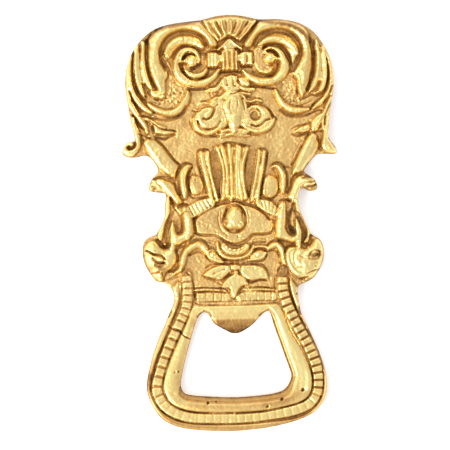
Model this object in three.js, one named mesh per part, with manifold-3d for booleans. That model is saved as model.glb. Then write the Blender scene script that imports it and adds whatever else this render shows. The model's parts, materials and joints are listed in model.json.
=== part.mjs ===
// A hand-held bottle opener, sand-cast in one pour of solid brass: a flat back, a crest of scrolls and
// feathers, a waist with a sheaf, an arched field and a bow, and below it an open loop with a tooth.
// Millimetres. The opener lies on its back: +Y points to the crest, +Z out of the carved face, and the
// origin is the centre of its outline on the underside. Every raised motif of the casting is a mesh of its
// own that stands on the back plate or on the floor of the loop.
import * as THREE from "three";
import { mergeVertices } from "three/addons/utils/BufferGeometryUtils.js";
import Module from "manifold-3d";

const wasm = await Module();
wasm.setup();

// ---------------------------------------------------------------- driving dimensions
const overallLength = 125;
const overallWidth = 64.5;
const plateThickness = 2.6; // ground of the crest and waist, and floor of the loop's bead groove
const rimInset = 0.2; // from the edge of the loop to its raised rim
const grooveClear = 0.35; // each side of the row of beads, which fill the groove across
const beadLength = 1.5; // along the groove
const beadPitch = 2.25;
const webRise = 0.35; // thin web that joins the beads, blades or rays of one motif
const rimRise = 1.0;
const bandRise = 1.1; // smooth inner band of the loop, level with the bar behind the tooth
const bandInset = 0.5; // from the edge of the opening to the band
const openingWidth = 33.6; // at its widest, near the bottom bar
const toothReach = 6.7; // from the notches beside the tooth to its tip
const toothBevelLength = 4.6; // sloped land ground on the face of the tooth
const toothLipThickness = 1.5; // at the tip, after the bevel
const arcSteps = 16; // sides of the round knobs and rings
const splineSteps = 2; // straight steps between two points of a drawn curve

// ---------------------------------------------------------------- the drawing
// Points are drawn in millimetres on an opener of the nominal size, and placed by the sizes above.
const kneeY = -24.6; // where the plate ends and the loop begins
const notchLeft = [-9.4, -26.4];
const notchRight = [10, -26.5];

const crestLeft = [
  [-18.9, kneeY], [-18.3, -23], [-18.2, -21.3], [-18.8, -19.6], [-20, -18], [-21.3, -17.3], [-22.9, -17.1],
  [-23.9, -16.5], [-25, -14.9], [-26.2, -13], [-27, -11], [-27.4, -8.7], [-27.3, -6.5], [-26.6, -4.6],
  [-25.2, -3.6], [-23.3, -3.1], [-22.7, -2.2], [-21.6, -0.2], [-20.6, 2], [-20.3, 4], [-20.3, 6],
  [-19.9, 8],
  [-20.1, 9.3], [-21, 9.5], [-23.3, 9.8], [-24.8, 10.2], [-25, 11.2], [-24.5, 12.8], [-23.7, 14.2],
  [-22.5, 15.3], [-22, 16.2], [-22.8, 18.2], [-24, 19.8], [-25.2, 20.7], [-26.5, 20.8], [-28, 20.4],
  [-30, 20.3], [-31.5, 20.6], [-32.5, 21.2], [-32.7, 22.3], [-32.2, 23.6], [-31.3, 24.6], [-30, 25],
  [-29.3, 24.9], [-28.8, 25.3], [-28.9, 26.5], [-29.5, 29], [-30.1, 32], [-30.5, 35], [-31, 38],
  [-31.3, 41], [-31.3, 44], [-30.7, 47.5], [-29.5, 50.8], [-27.5, 54], [-25, 56.6], [-22, 58.6],
  [-18, 59.8], [-14, 60.4], [-10, 60.8], [-8, 61], [-4, 62],
];
const crestRight = [
  [0, 62.4], [4, 62.1], [8, 61.2], [9.2, 60.9], [12, 60.9], [16, 60.8], [20, 60.1], [23, 58.9],
  [26, 56.8], [28.5, 53.5], [30.2, 50], [31.2, 46.5], [31.6, 43], [31.5, 40], [31, 37], [30.2, 33],
  [29.8, 30], [29.5, 27], [29.5, 25.4], [30.7, 23.3], [31.7, 22], [32, 20.2], [30.5, 20], [28, 20.2],
  [26.3, 20.1], [25, 19.2], [23.8, 17.8], [22.3, 15.9], [21.9, 15.1], [22.4, 14.4], [23.8, 13.5],
  [24.9, 12.6], [25.6, 11.3], [25.9, 10], [25.3, 9.3], [23.6, 9.1], [22, 9.9], [20.9, 9.8], [20.1, 9],
  [19.9, 7], [20, 5], [20.7, 2.5], [21.7, 0.2], [22.9, -2.4], [23.7, -4], [25.8, -5.2], [27, -7],
  [27.3, -10], [26.6, -13], [25.5, -15], [24.3, -16.8], [22.5, -18], [20, -18.9], [19.2, -19.6],
  [19, -21.5], [19.4, kneeY],
];
const loopEdge = [
  [19.4, kneeY], [19.8, -27], [20.8, -29.5], [22, -32], [23.3, -35], [24.8, -38.5], [26, -42],
  [26.8, -45], [27.2, -48], [27.2, -50.5], [26.6, -53], [25.3, -55.3], [23, -57.5], [20, -59],
  [17, -60], [13, -60.9], [9, -61.6], [5, -62], [0, -62.3], [-5, -62.3], [-9, -62], [-13, -61.6],
  [-17, -60.9], [-20, -59.8], [-22.5, -58.3], [-24.5, -56], [-26, -53.3], [-27, -50.5], [-27.2, -48],
  [-26.8, -45], [-26.1, -42.5], [-25.3, -39.5], [-24.2, -36.5], [-22.8, -33], [-21.3, -30],
  [-20.1, -27.2], [-18.9, kneeY],
];
const rimWaistRight = [[16.9, -16.9], [18, -18.5], [18.75, -19.9], [18.7, -21.6]]; // down to the loop
const rimWaistLeft = [[-18, -22.6], [-18, -21.3], [-18.3, -19.8], [-18.4, -18.6], [-17, -16.9]]; // and up
// The groove of the beads as [x, y, half-width], down the right, round the loop and up the left.
const groove = [
  [14.6, -15.6, 1.4], [14.9, -18.5, 1.6], [15.2, -22, 1.9], [15.9, -25.2, 2.15], [17.1, -28.7, 2.2],
  [18.6, -32.3, 2.2], [20.4, -35.9, 2], [22.1, -39.5, 1.9], [23.4, -43, 1.75], [24.3, -46.2, 1.7],
  [24.4, -49.6, 1.65], [23.9, -51.8, 1.65], [22.8, -53.8, 1.7], [21.2, -55.5, 1.75], [18.9, -56.7, 1.8],
  [15.7, -57.4, 1.85], [9.8, -58.1, 1.7], [0, -58.5, 1.5], [-9.9, -58.2, 1.6], [-14.6, -57.7, 1.7],
  [-18.1, -56.8, 1.7], [-20.7, -55.6, 1.7], [-22.4, -53.9, 1.65], [-23.8, -51.3, 1.7], [-24.3, -48.7, 1.8],
  [-24.1, -46.2, 1.8], [-23.4, -43.6, 1.8], [-21.7, -38.9, 1.85], [-19.4, -34, 1.85], [-17.9, -30.8, 1.9],
  [-16.4, -27.2, 1.9], [-15.4, -24.8, 1.85], [-14.9, -22, 1.7], [-14.5, -19, 1.5], [-14.1, -16.4, 1.35],
];
const openingEdge = [
  notchLeft, [-10.5, -27], [-11.4, -28.2], [-12.5, -31], [-13.8, -35], [-15.3, -40], [-16.4, -44.5],
  [-17, -47.5], [-16.8, -49.2], [-15.7, -50.7], [-13.5, -51.3], [-10, -51.7], [-5, -52.1], [0, -52.3],
  [5, -52.1], [9, -51.8], [12.5, -51.2], [14.5, -50.3], [15.8, -48.6], [16.6, -46.5], [16.2, -44.5],
  [15, -41], [13.2, -35.5], [11.7, -31], [11, -28.3], [10.6, -27.1], notchRight,
];
const openingCentre = -0.2; // x of the middle of the opening
const openingDrawnWidth = 33.6;
const toothDrawnReach = 6.7;
const toothEdge = [
  notchLeft, [-8.3, -26.9], [-7.3, -28.4], [-6.4, -30], [-4.8, -31.1], [-2.8, -32.2], [-1.2, -33],
  [0, -33.1], [1.3, -32.9], [3, -32], [5, -30.7], [6.6, -29], [8, -27.6], [9.2, -26.8], notchRight,
];

// The drawing's own box, so that a length or a width that is changed moves every point with it.
const drawn = new THREE.Box2().setFromPoints(
  [...crestLeft, ...crestRight, ...loopEdge].map(([x, y]) => new THREE.Vector2(x, y)),
);
const drawnSize = drawn.getSize(new THREE.Vector2());
const drawnCentre = drawn.getCenter(new THREE.Vector2());
const scaleX = overallWidth / drawnSize.x;
const scaleY = overallLength / drawnSize.y;
const scaleBand = Math.sqrt(scaleX * scaleY); // for the half-width of a drawn band

const place = ([x, y]) => new THREE.Vector2((x - drawnCentre.x) * scaleX, (y - drawnCentre.y) * scaleY);

// ---------------------------------------------------------------- curves and outlines
// A smooth line through placed points, open or closed.
function curve(points, closed = false, steps = splineSteps) {
  const knots = points.map((p) => new THREE.Vector3(p.x, p.y, p.z ?? 0));
  const spline = new THREE.CatmullRomCurve3(knots, closed, "centripetal");
  const count = steps * (closed ? knots.length : knots.length - 1);
  const sampled = spline.getPoints(count);
  return closed ? sampled.slice(0, -1) : sampled;
}

const flat = (points) => points.map((p) => new THREE.Vector2(p.x, p.y));
const line = (points) => flat(curve(points.map(place)));
const blob = (points) => flat(curve(points.map(place), true));
const polygon = (points) => points.map(place);

// The line that runs at a distance to the right of a line's direction of travel.
function beside(points, distance) {
  return points.map((p, i) => {
    const before = points[Math.max(i - 1, 0)];
    const after = points[Math.min(i + 1, points.length - 1)];
    const along = after.clone().sub(before).normalize();
    return new THREE.Vector2(p.x + along.y * distance, p.y - along.x * distance);
  });
}

// The middle and the two sides of a band drawn as [x, y, half-width].
const bandKnots = (points) => points.map(([x, y, half]) => {
  const at = place([x, y]);
  return new THREE.Vector3(at.x, at.y, half * scaleBand);
});
function sides(drawnPoints, steps = splineSteps) {
  const middle = curve(bandKnots(drawnPoints), false, steps);
  const last = middle.length - 1;
  const left = [];
  const right = [];
  middle.forEach((p, i) => {
    const along = middle[Math.min(i + 1, last)].clone().sub(middle[Math.max(i - 1, 0)]).setZ(0).normalize();
    left.push(new THREE.Vector2(p.x - along.y * p.z, p.y + along.x * p.z));
    right.push(new THREE.Vector2(p.x + along.y * p.z, p.y - along.x * p.z));
  });
  return { middle, left, right };
}

// The outline of a band, with blunt round ends.
function band(drawnPoints, steps = splineSteps) {
  const { middle, left, right } = sides(drawnPoints, steps);
  const cap = (end, next) => {
    const out = end.clone().sub(next).setZ(0).normalize().multiplyScalar(end.z * 0.8);
    return new THREE.Vector2(end.x + out.x, end.y + out.y);
  };
  return [...left, cap(middle.at(-1), middle.at(-2)), ...right.reverse(), cap(middle[0], middle[1])];
}

function ellipse([x, y], halfWidth, halfHeight, turns = 1) {
  const at = place([x, y]);
  return Array.from({ length: arcSteps }, (_, i) => {
    const angle = (turns * 2 * Math.PI * i) / arcSteps;
    return new THREE.Vector2(
      at.x + halfWidth * scaleX * Math.cos(angle),
      at.y + halfHeight * scaleY * Math.sin(angle),
    );
  });
}

// ---------------------------------------------------------------- solids
function prism(outline, bottom, top, hole) {
  const shape = new THREE.Shape(outline);
  if (hole) shape.holes.push(new THREE.Path(hole));
  const solid = new THREE.ExtrudeGeometry(shape, { depth: top - bottom, bevelEnabled: false });
  return solid.translate(0, 0, bottom);
}

function toManifold(geometry) {
  const bare = geometry.clone();
  bare.deleteAttribute("normal");
  bare.deleteAttribute("uv");
  const merged = mergeVertices(bare, 1e-4);
  return new wasm.Manifold(
    new wasm.Mesh({
      numProp: 3,
      vertProperties: merged.attributes.position.array,
      triVerts: new Uint32Array(merged.index.array),
    }),
  );
}

function toGeometry(solid) {
  const mesh = solid.getMesh();
  return new THREE.BufferGeometry()
    .setAttribute("position", new THREE.BufferAttribute(mesh.vertProperties, 3))
    .setIndex(new THREE.BufferAttribute(mesh.triVerts, 1));
}

// Several geometries made one body.
function joined(geometries) {
  return toGeometry(geometries.map(toManifold).reduce((whole, next) => whole.add(next)));
}

// ---------------------------------------------------------------- the assembly
const opener = new THREE.Group();
const ground = plateThickness;

const brass = (name, colour, roughness) => {
  const made = new THREE.MeshStandardMaterial({ color: colour, roughness, metalness: 1 });
  made.name = name;
  return made;
};
const castBrass = brass("cast_brass", 0xc98b32, 0.45); // the plate and the low ground
const reliefBrass = brass("relief_brass", 0xe0b04a, 0.34); // motifs, rubbed bright on their tops
const toothBrass = brass("tooth_brass", 0xb87a2a, 0.4); // the lifting tooth

function add(name, geometry, material) {
  const mesh = new THREE.Mesh(geometry, material);
  mesh.name = name;
  opener.add(mesh);
}

function raise(name, outline, rise, base = ground) {
  add(name, prism(outline, base, base + rise), reliefBrass);
}

// ---------------------------------------------------------------- plate, loop and tooth
const plateEdge = line([...crestLeft, ...crestRight]);
add("back_plate", prism(plateEdge, 0, ground), castBrass);

const widening = openingWidth / openingDrawnWidth;
const widenOpening = ([x, y]) => [openingCentre + (x - openingCentre) * widening, y];
const opening = line([notchLeft, ...openingEdge.slice(1, -1).map(widenOpening), notchRight]);
const loopOuter = line(loopEdge);
const legCorner = ([x]) => place([x, kneeY]);
const loopOutline = [...loopOuter, legCorner(notchLeft), ...opening, legCorner(notchRight)];
add("opener_loop", prism(loopOutline, 0, ground), castBrass);

// The tooth hangs from the bar above the opening, and its face is bevelled down to a thin lip.
const deepen = ([x, y]) => {
  const root = Math.max(notchLeft[1], notchRight[1]);
  return [x, root + ((y - root) * toothReach) / toothDrawnReach];
};
const toothLine = line([notchLeft, ...toothEdge.slice(1, -1).map(deepen), notchRight]);
const toothOutline = [legCorner(notchRight), legCorner(notchLeft), ...toothLine];
const barTop = ground + bandRise;
const toothTip = Math.min(...toothLine.map((p) => p.y));
function toothBevel() {
  const start = toothTip + toothBevelLength;
  const past = 2; // beyond the tip and above the bar
  const slope = (barTop - toothLipThickness) / toothBevelLength;
  const side = new THREE.Shape([
    new THREE.Vector2(start, barTop),
    new THREE.Vector2(toothTip - past, toothLipThickness - past * slope),
    new THREE.Vector2(toothTip - past, barTop + past),
    new THREE.Vector2(start, barTop + past),
  ]);
  const wedge = new THREE.ExtrudeGeometry(side, { depth: overallWidth, bevelEnabled: false });
  // The profile is drawn in (y, z) and carried along x.
  wedge.applyMatrix4(new THREE.Matrix4().makeBasis(
    new THREE.Vector3(0, 1, 0), new THREE.Vector3(0, 0, 1), new THREE.Vector3(1, 0, 0),
  ));
  return wedge.translate(-overallWidth / 2, 0, 0);
}
const toothBlock = toManifold(prism(toothOutline, 0, barTop)).subtract(toManifold(toothBevel()));
add("cap_tooth", toGeometry(toothBlock), toothBrass);

// ---------------------------------------------------------------- rim, beads and band of the loop
const grooveSides = sides(groove);
const rimOuter = [
  ...line(rimWaistRight),
  ...beside(loopOuter, rimInset).slice(1, -1),
  ...line(rimWaistLeft),
];
const besideRim = (p) => p.y < place([0, -17.4]).y; // the groove runs on above the ends of the rim
raise("loop_rim", [...rimOuter, ...grooveSides.left.filter(besideRim).reverse()], rimRise);

function block(at, along, length, width, rise) {
  const across = new THREE.Vector2(-along.y, along.x);
  const corners = [[-1, -1], [1, -1], [1, 1], [-1, 1]].map(([u, v]) => (
    at.clone().addScaledVector(along, (u * length) / 2).addScaledVector(across, (v * width) / 2)
  ));
  return prism(corners, ground, ground + rise);
}
function beadBorder() {
  const web = band(groove.map(([x, y, half]) => [x, y, half - 2 * grooveClear]));
  const parts = [prism(web, ground, ground + webRise)];
  const middle = new THREE.CatmullRomCurve3(bandKnots(groove), false, "centripetal");
  const count = Math.round(middle.getLength() / beadPitch);
  for (let i = 0; i < count; i += 1) {
    const share = (i + 0.5) / count;
    const at = middle.getPointAt(share);
    const along = middle.getTangentAt(share);
    const width = 2 * (at.z - grooveClear);
    const heading = new THREE.Vector2(along.x, along.y).normalize();
    parts.push(block(new THREE.Vector2(at.x, at.y), heading, beadLength, width, rimRise));
  }
  return joined(parts);
}
add("bead_border", beadBorder(), reliefBrass);

// Where a line first crosses the height y.
function crossing(points, y) {
  const i = points.findIndex((p, k) => k > 0 && (p.y - y) * (points[k - 1].y - y) <= 0);
  const share = (y - points[i - 1].y) / (points[i].y - points[i - 1].y);
  return points[i - 1].clone().lerp(points[i], share);
}
function loopBand() {
  const reach = place([0, kneeY]).y - bandInset;
  const between = (points) => [
    crossing(points, reach), ...points.filter((p) => p.y < reach), crossing([...points].reverse(), reach),
  ];
  const inner = beside(opening, bandInset).slice(1, -1).filter((p) => p.y < reach);
  const leftTop = new THREE.Vector2(place(notchLeft).x - bandInset, reach);
  const rightTop = new THREE.Vector2(place(notchRight).x + bandInset, reach);
  return [...between(grooveSides.right), leftTop, ...inner, rightTop];
}
raise("loop_band", loopBand(), bandRise);

// ---------------------------------------------------------------- row of beads above the tooth
const rowEnds = [-11.5, 11.7];
const rowY = -22.1;
const rowBead = 2.1; // length of a bead of the row, between the rails
const railY = [-20.15, -24.05];
const railHalf = 0.2;
const tailX = -0.2; // the tail of the bow cuts the upper rail and the row
const tailGap = 2.1; // to each side of it
function beadRow() {
  const [upper, lower] = railY;
  const [start, end] = rowEnds;
  const web = polygon([
    [start, upper], [tailX - 4, upper], [tailX - 1.7, rowY + 0.4], [tailX, rowY - 0.8],
    [tailX + 1.7, rowY + 0.4], [tailX + 3.7, upper], [end, upper], [end, lower], [start, lower],
  ]);
  const rails = [
    [[start, upper, railHalf], [tailX - 4, upper, railHalf]],
    [[tailX + 3.7, upper, railHalf], [end, upper, railHalf]],
    [[start, lower, railHalf], [end, lower, railHalf]],
  ].map((points) => prism(band(points, 1), ground, ground + 0.8));
  const parts = [prism(web, ground, ground + webRise), ...rails];
  const count = Math.floor(((end - start) * scaleX) / beadPitch);
  for (let i = 0; i < count; i += 1) {
    const x = start + ((i + 0.5) * (end - start)) / count;
    if (Math.abs(x - tailX) < tailGap) continue;
    parts.push(block(place([x, rowY]), new THREE.Vector2(1, 0), beadLength, rowBead * scaleY, rimRise));
  }
  return joined(parts);
}
add("bead_row", beadRow(), reliefBrass);

// ---------------------------------------------------------------- crest
const bladeTips = [
  [-6.8, 59.9], [-4.4, 60.7], [-2, 61.1], [0.4, 61.3], [2.9, 61], [5.3, 60.5], [7.5, 59.8],
];
const bladeRoot = [0.4, 54.6];
function palmette() {
  const fan = polygon([
    [-2.6, 54.5], [-4.4, 56.7], [-6.4, 59.2], [-7.4, 60.3], [-4.8, 61], [-2, 61.4], [0.5, 61.6], [3, 61.4],
    [5.8, 60.8], [8.1, 60.1], [6.6, 58], [5, 56], [3.5, 54.1], [2, 55.3], [0.3, 56.3], [-1.2, 55.4],
  ]);
  const blades = bladeTips.map(([x, y]) => {
    const from = (share) => [bladeRoot[0], bladeRoot[1]].map((c, i) => c + ([x, y][i] - c) * share);
    const rib = [[...from(0.42), 0.28], [...from(0.75), 0.45], [...from(0.97), 0.3]];
    return prism(band(rib, 1), ground, ground + 1.9);
  });
  return joined([prism(fan, ground, ground + 1.1), ...blades]);
}
add("palmette", palmette(), reliefBrass);
function tie() {
  const gable = polygon([[-2.8, 52.4], [0.3, 55.1], [3.5, 52.2]]);
  const block = polygon([[-2.4, 45.7], [2.6, 45.8], [2.7, 51.6], [-2.3, 51.8]]);
  const left = blob([[-6.5, 47.2], [-4.8, 46.8], [-3.2, 47.2], [-3.1, 50.8], [-4.8, 51.2], [-6.6, 50.8]]);
  const right = blob([[3.4, 47.5], [5.2, 47.2], [6.8, 47.5], [6.9, 50.8], [5.2, 51.3], [3.3, 50.9]]);
  const web = polygon([
    [-5.8, 48], [5.8, 48.2], [5.8, 50.4], [2.2, 50.6], [1.8, 52.8], [-1.6, 52.8], [-2, 50.6], [-5.8, 50.3],
  ]);
  return joined([
    prism(web, ground, ground + 1), prism(gable, ground, ground + 2.4), prism(block, ground, ground + 2.7),
    prism(left, ground, ground + 2.5), prism(right, ground, ground + 2.5),
  ]);
}
add("tie", tie(), reliefBrass);

raise("volute_left", blob([
  [-3.2, 53.4], [-4.6, 55.9], [-6.6, 58.4], [-8.6, 60.2], [-11.5, 60.2], [-15, 59.8], [-19, 59],
  [-22.3, 57.4],
  [-24, 55.4], [-24.2, 52.5], [-24.5, 49.3], [-24.1, 46.3], [-23.3, 43.6], [-22.1, 41.1], [-21, 39.2],
  [-20.1, 39.4], [-19.8, 41.2], [-19.7, 43], [-18.6, 44.4], [-19.4, 46.2], [-20.6, 48.6], [-20.9, 51.2],
  [-20.2, 54], [-18.2, 56.5], [-15.3, 57.9], [-12, 58], [-9.4, 57.1], [-7.5, 55.3], [-6.4, 53.2],
  [-4.8, 52.6],
]), 2.6);
raise("volute_right", blob([
  [4.4, 53.4], [5.8, 55.6], [7.6, 58], [9.5, 60.1], [12, 60.3], [16, 60.2], [20, 59.4], [23, 57.9],
  [24.3, 56],
  [24.7, 53.5], [25.1, 49], [24.9, 45.2], [23.9, 42], [22.6, 39.6], [21.9, 37.9], [21.2, 37.7], [20.9, 39],
  [20.7, 41.5], [20.5, 43.6], [19.2, 44.4], [19.6, 45.9], [21.2, 48.3], [22.3, 50.7], [22.1, 53],
  [20.8, 55.5],
  [18.4, 57.3], [15, 58.1], [11.5, 57.6], [9, 56.3], [7.6, 54.2], [6.6, 52.6], [5.2, 52.3],
]), 2.6);
raise("shell_left", blob([
  [-19.5, 50], [-19.3, 52], [-18, 54.2], [-15.8, 55.8], [-13, 56.5], [-10.5, 56.1], [-8.3, 54.8],
  [-7.3, 53.1],
  [-7.6, 52.3], [-9.4, 53.2], [-11.6, 53.8], [-14, 53.4], [-16.1, 52.1], [-17.3, 50.4], [-18.3, 49.5],
]), 1.7);
raise("shell_right", blob([
  [9.4, 52.3], [9.9, 54.2], [11.8, 55.9], [14.6, 56.6], [17.6, 55.9], [19.9, 54], [21.2, 51.6],
  [20.8, 49.4],
  [19.6, 47.4], [18.9, 47.4], [18.5, 49.5], [17.5, 51.5], [15.7, 53.1], [13.3, 53.7], [11.2, 53.2],
  [10.1, 52],
]), 1.7);
function spiral(points, knobCentre, knobRadius, web) {
  return joined([
    prism(band(points), ground, ground + 2.9),
    prism(ellipse(knobCentre, knobRadius, knobRadius), ground, ground + 3.1),
    prism(band(web, 1), ground, ground + 0.9),
  ]);
}
add("spiral_left", spiral([
  [-3.2, 45, 0.35], [-5, 43.6, 0.7], [-7.3, 42.3, 0.85], [-9.8, 41.9, 0.9], [-12.6, 42.7, 0.9],
  [-14.9, 44.8, 0.85], [-15.9, 47.4, 0.8], [-15.6, 49.9, 0.75], [-14.2, 51.7, 0.65], [-12.2, 52.4, 0.6],
  [-10.3, 51.8, 0.55], [-9.2, 50.2, 0.5], [-9.3, 48.6, 0.4],
], [-11.9, 49.1], 1.35, [[-15.5, 48.4, 0.5], [-12, 49, 0.8], [-9.3, 49.4, 0.4]]), reliefBrass);
add("spiral_right", spiral([
  [3.9, 45.3, 0.35], [5.3, 44, 0.65], [7.4, 42.6, 0.8], [10.3, 41.9, 0.85], [13.3, 42.5, 1],
  [15.6, 44.5, 1.2],
  [16.5, 47.2, 1.25], [15.9, 49.9, 1], [14.6, 51.6, 0.75], [12.8, 52.2, 0.6], [11, 51.7, 0.45],
  [10.2, 50.4, 0.35],
], [12.3, 49.1], 1.65, [[10.8, 51.2, 0.3], [12.3, 49.6, 0.6], [15.8, 48.6, 0.6]]), reliefBrass);

function pendant() {
  const stem = blob([
    [-1.1, 44], [-1.7, 42], [-1.9, 40.7], [-1, 39.7], [0.8, 39.4], [2.3, 39.8], [2.9, 40.9], [2.3, 42.2],
    [2.4, 44],
    [0.6, 44.4],
  ]);
  const curls = [
    [[-2.1, 43.2, 0.3], [-2.8, 41.7, 0.5], [-4.2, 40.4, 0.5], [-6.1, 40.3, 0.3]],
    [[2.4, 41.4, 0.4], [3.8, 40.5, 0.5], [5.4, 40.1, 0.45], [7, 40.2, 0.3]],
  ];
  const footing = band([[-2.6, 41.2, 0.4], [0, 40.9, 0.5], [2.6, 41, 0.4]]);
  return joined([prism(stem, ground, ground + 2), ...[...curls.map((c) => band(c)), footing].map(
    (outline) => prism(outline, ground, ground + 1.5),
  )]);
}
add("pendant", pendant(), reliefBrass);

// ---------------------------------------------------------------- wings
function feathers(inner, outer, web) {
  return joined([
    prism(band(inner), ground, ground + 2), prism(band(outer), ground, ground + 2),
    prism(band(web, 1), ground, ground + 1),
  ]);
}
add("feathers_left", feathers(
  [[-25.5, 53.4, 0.4], [-25.75, 50, 0.7], [-25.6, 46.5, 0.75], [-25, 43.5, 0.75], [-24.1, 41.3, 0.5]],
  [
    [-27.2, 52.2, 0.35], [-27.65, 49.5, 0.7], [-27.7, 47, 0.75], [-27.4, 43, 0.8], [-26.6, 40, 0.75],
    [-25.5, 38, 0.5],
  ],
  [[-26.5, 51.5, 0.6], [-26.7, 47, 0.8], [-26, 42.5, 0.8]],
), reliefBrass);
add("feathers_right", feathers(
  [
    [26.1, 53.1, 0.35], [26.7, 50, 0.75], [26.7, 46.5, 0.9], [26.3, 43, 1.1], [25.2, 40.7, 0.9],
    [24.1, 39.1, 0.45],
  ],
  [
    [27.9, 52, 0.3], [28.7, 49.5, 0.5], [28.85, 46, 0.65], [28.6, 43, 0.75], [27.9, 40.5, 0.8],
    [26.7, 38.7, 0.5],
  ],
  [[27.6, 51, 0.5], [27.9, 47, 0.7], [27.4, 42.5, 0.8]],
), reliefBrass);
const wingBands = {
  wing_rim_left: [
    [-28.1, 52.7, 0.25], [-29.3, 49.8, 0.4], [-29.9, 47, 0.7], [-30, 43.5, 0.9], [-29.3, 40.3, 0.75],
    [-28.2, 37.8, 0.85], [-26.7, 35.8, 0.8], [-25, 34.3, 0.6], [-23.7, 33.2, 0.35],
  ],
  wing_tail_left: [
    [-30.5, 38.9, 0.3], [-30, 36.2, 0.6], [-28.8, 34, 0.85], [-27.4, 32, 0.8], [-26.3, 30.3, 0.75],
    [-25.4, 29.1, 0.5],
  ],
  hook_left: [
    [-29.8, 32.6, 0.22], [-29.1, 30.4, 0.5], [-28.3, 28.3, 0.7], [-27.9, 25.8, 0.7], [-28.2, 23.4, 0.8],
    [-29.6, 21.9, 0.8], [-31.1, 21.9, 0.7], [-31.8, 23, 0.55], [-31.1, 24.1, 0.4], [-30.1, 24.2, 0.3],
  ],
  wing_rim_right: [
    [29.8, 49.8, 0.22], [30.4, 47.5, 0.4], [30.75, 44, 0.55], [30.5, 41, 0.6], [29.6, 38.5, 0.6],
    [28.1, 36.6, 0.7],
    [26.6, 35.1, 0.6], [25.6, 34, 0.3],
  ],
  wing_tail_right: [
    [30.4, 36.9, 0.25], [29.6, 34.8, 0.45], [28.4, 32.5, 0.55], [27.2, 30.6, 0.7], [26.1, 29, 0.9],
    [25.6, 27.6, 0.7],
  ],
  crescent_left: [
    [-24.2, 36, 0.25], [-22.3, 34.4, 0.65], [-19.5, 33.3, 0.9], [-16.5, 33.5, 1], [-14.2, 35, 1],
    [-12.9, 37.2, 0.8],
    [-12.3, 39.4, 0.35],
  ],
  crescent_right: [
    [13.7, 39.6, 0.35], [14.6, 37.2, 0.65], [16.3, 35, 0.95], [18.5, 33.6, 1.05], [21.3, 33.3, 0.85],
    [23.7, 33.7, 0.4],
  ],
};
for (const [name, points] of Object.entries(wingBands)) raise(name, band(points), 2);
raise("spur_right", blob([
  [29.9, 32.4], [29.6, 29.5], [29.2, 26.9], [29.3, 25.2], [30.5, 23.1], [31.4, 21.8], [31.5, 20.7],
  [29.5, 20.6],
  [28, 21.1], [27.3, 22.3], [27.5, 24.5], [27.9, 26.8], [28.5, 29], [29.3, 31.4],
]), 1.9);
raise("sprig_left", blob([
  [-23.8, 30.4], [-22, 28.9], [-19.6, 28.1], [-16.8, 27.6], [-18.5, 27.1], [-21, 27], [-22.7, 27.3],
  [-23.6, 28.6],
]), 1.5);
raise("sprig_right", blob([
  [23.9, 29.2], [21.8, 28.3], [19.8, 27.2], [21.5, 26.6], [23.3, 26.8], [24.1, 27.8],
]), 1.5);

// ---------------------------------------------------------------- lotus between the scrolls and the sheaf
const bud = blob([
  [1, 38.3], [-0.9, 37.6], [-2.2, 36.2], [-2.5, 34.3], [-1.8, 32.4], [-1.1, 30.6], [-1, 29.1], [0.2, 28.2],
  [2, 28.2],
  [3.1, 29.1], [3.3, 31], [3.7, 32.8], [3.9, 34.6], [3.6, 36.3], [2.7, 37.7],
]);
const budFoot = band([[-3.7, 26.6, 0.35], [-1, 26.6, 0.5], [2, 26.8, 0.5], [4.9, 26.7, 0.4]]);
const budStalk = polygon([[-0.2, 28.6], [0.1, 26.6], [1.8, 26.6], [2.3, 28.6]]);
add("lotus_bud", joined([
  prism(bud, ground, ground + 2.2), prism(budFoot, ground, ground + 1.2),
  prism(budStalk, ground, ground + 1),
]), reliefBrass);
raise("lotus_scroll_left", blob([
  [-2.3, 30.6], [-1.7, 28.9], [-2.8, 27.9], [-5, 27.4], [-7.5, 27.2], [-9.8, 28.3], [-11.2, 30.2],
  [-11, 32.3],
  [-9.7, 34], [-7.6, 35.1], [-5.2, 35.3], [-3.3, 34.9], [-3.1, 33], [-2.6, 31.8],
]), 1.8);
raise("lotus_scroll_right", blob([
  [4, 30.2], [3.9, 28.9], [6, 28.1], [9, 27.6], [11.5, 28.4], [13, 30.2], [12.5, 31.4], [11.9, 32.8],
  [10.7, 34.5],
  [8.4, 35.4], [6.1, 35], [4.8, 33.8], [4.4, 32],
]), 1.8);

// ---------------------------------------------------------------- waist: arms, sheaf, rods, horns
raise("arm_left", blob([
  [-25.6, 24.6], [-24.2, 25.6], [-22.2, 25.2], [-20.6, 23.3], [-19, 21.2], [-17.2, 18.9], [-15.8, 17.4],
  [-16.6, 15.5], [-17.3, 13.9], [-19, 14.6], [-20.8, 15.9], [-21.9, 17.3], [-22.6, 19], [-24.1, 20.8],
  [-25.3, 22.2],
]), 1.9);
raise("arm_right", blob([
  [23.2, 25.6], [24.6, 25.8], [26.2, 24.2], [26.5, 22.3], [25.3, 20.5], [23.9, 18.7], [22.3, 16.8],
  [21.2, 15.3],
  [19.8, 14.9], [18.4, 13.8], [18.2, 15.8], [19.2, 18.2], [20.6, 20.9], [22, 23.4],
]), 1.9);
raise("sheaf", blob([
  [-4.6, 22.3], [-1.5, 22.9], [2, 22.9], [4.8, 22.2], [4.1, 19], [3.5, 15], [3.7, 11], [4.6, 7.8],
  [1.8, 7.6],
  [-2.2, 7.1], [-3, 9], [-2.9, 13], [-3.1, 17], [-3.9, 20],
]), 2.6);
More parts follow.
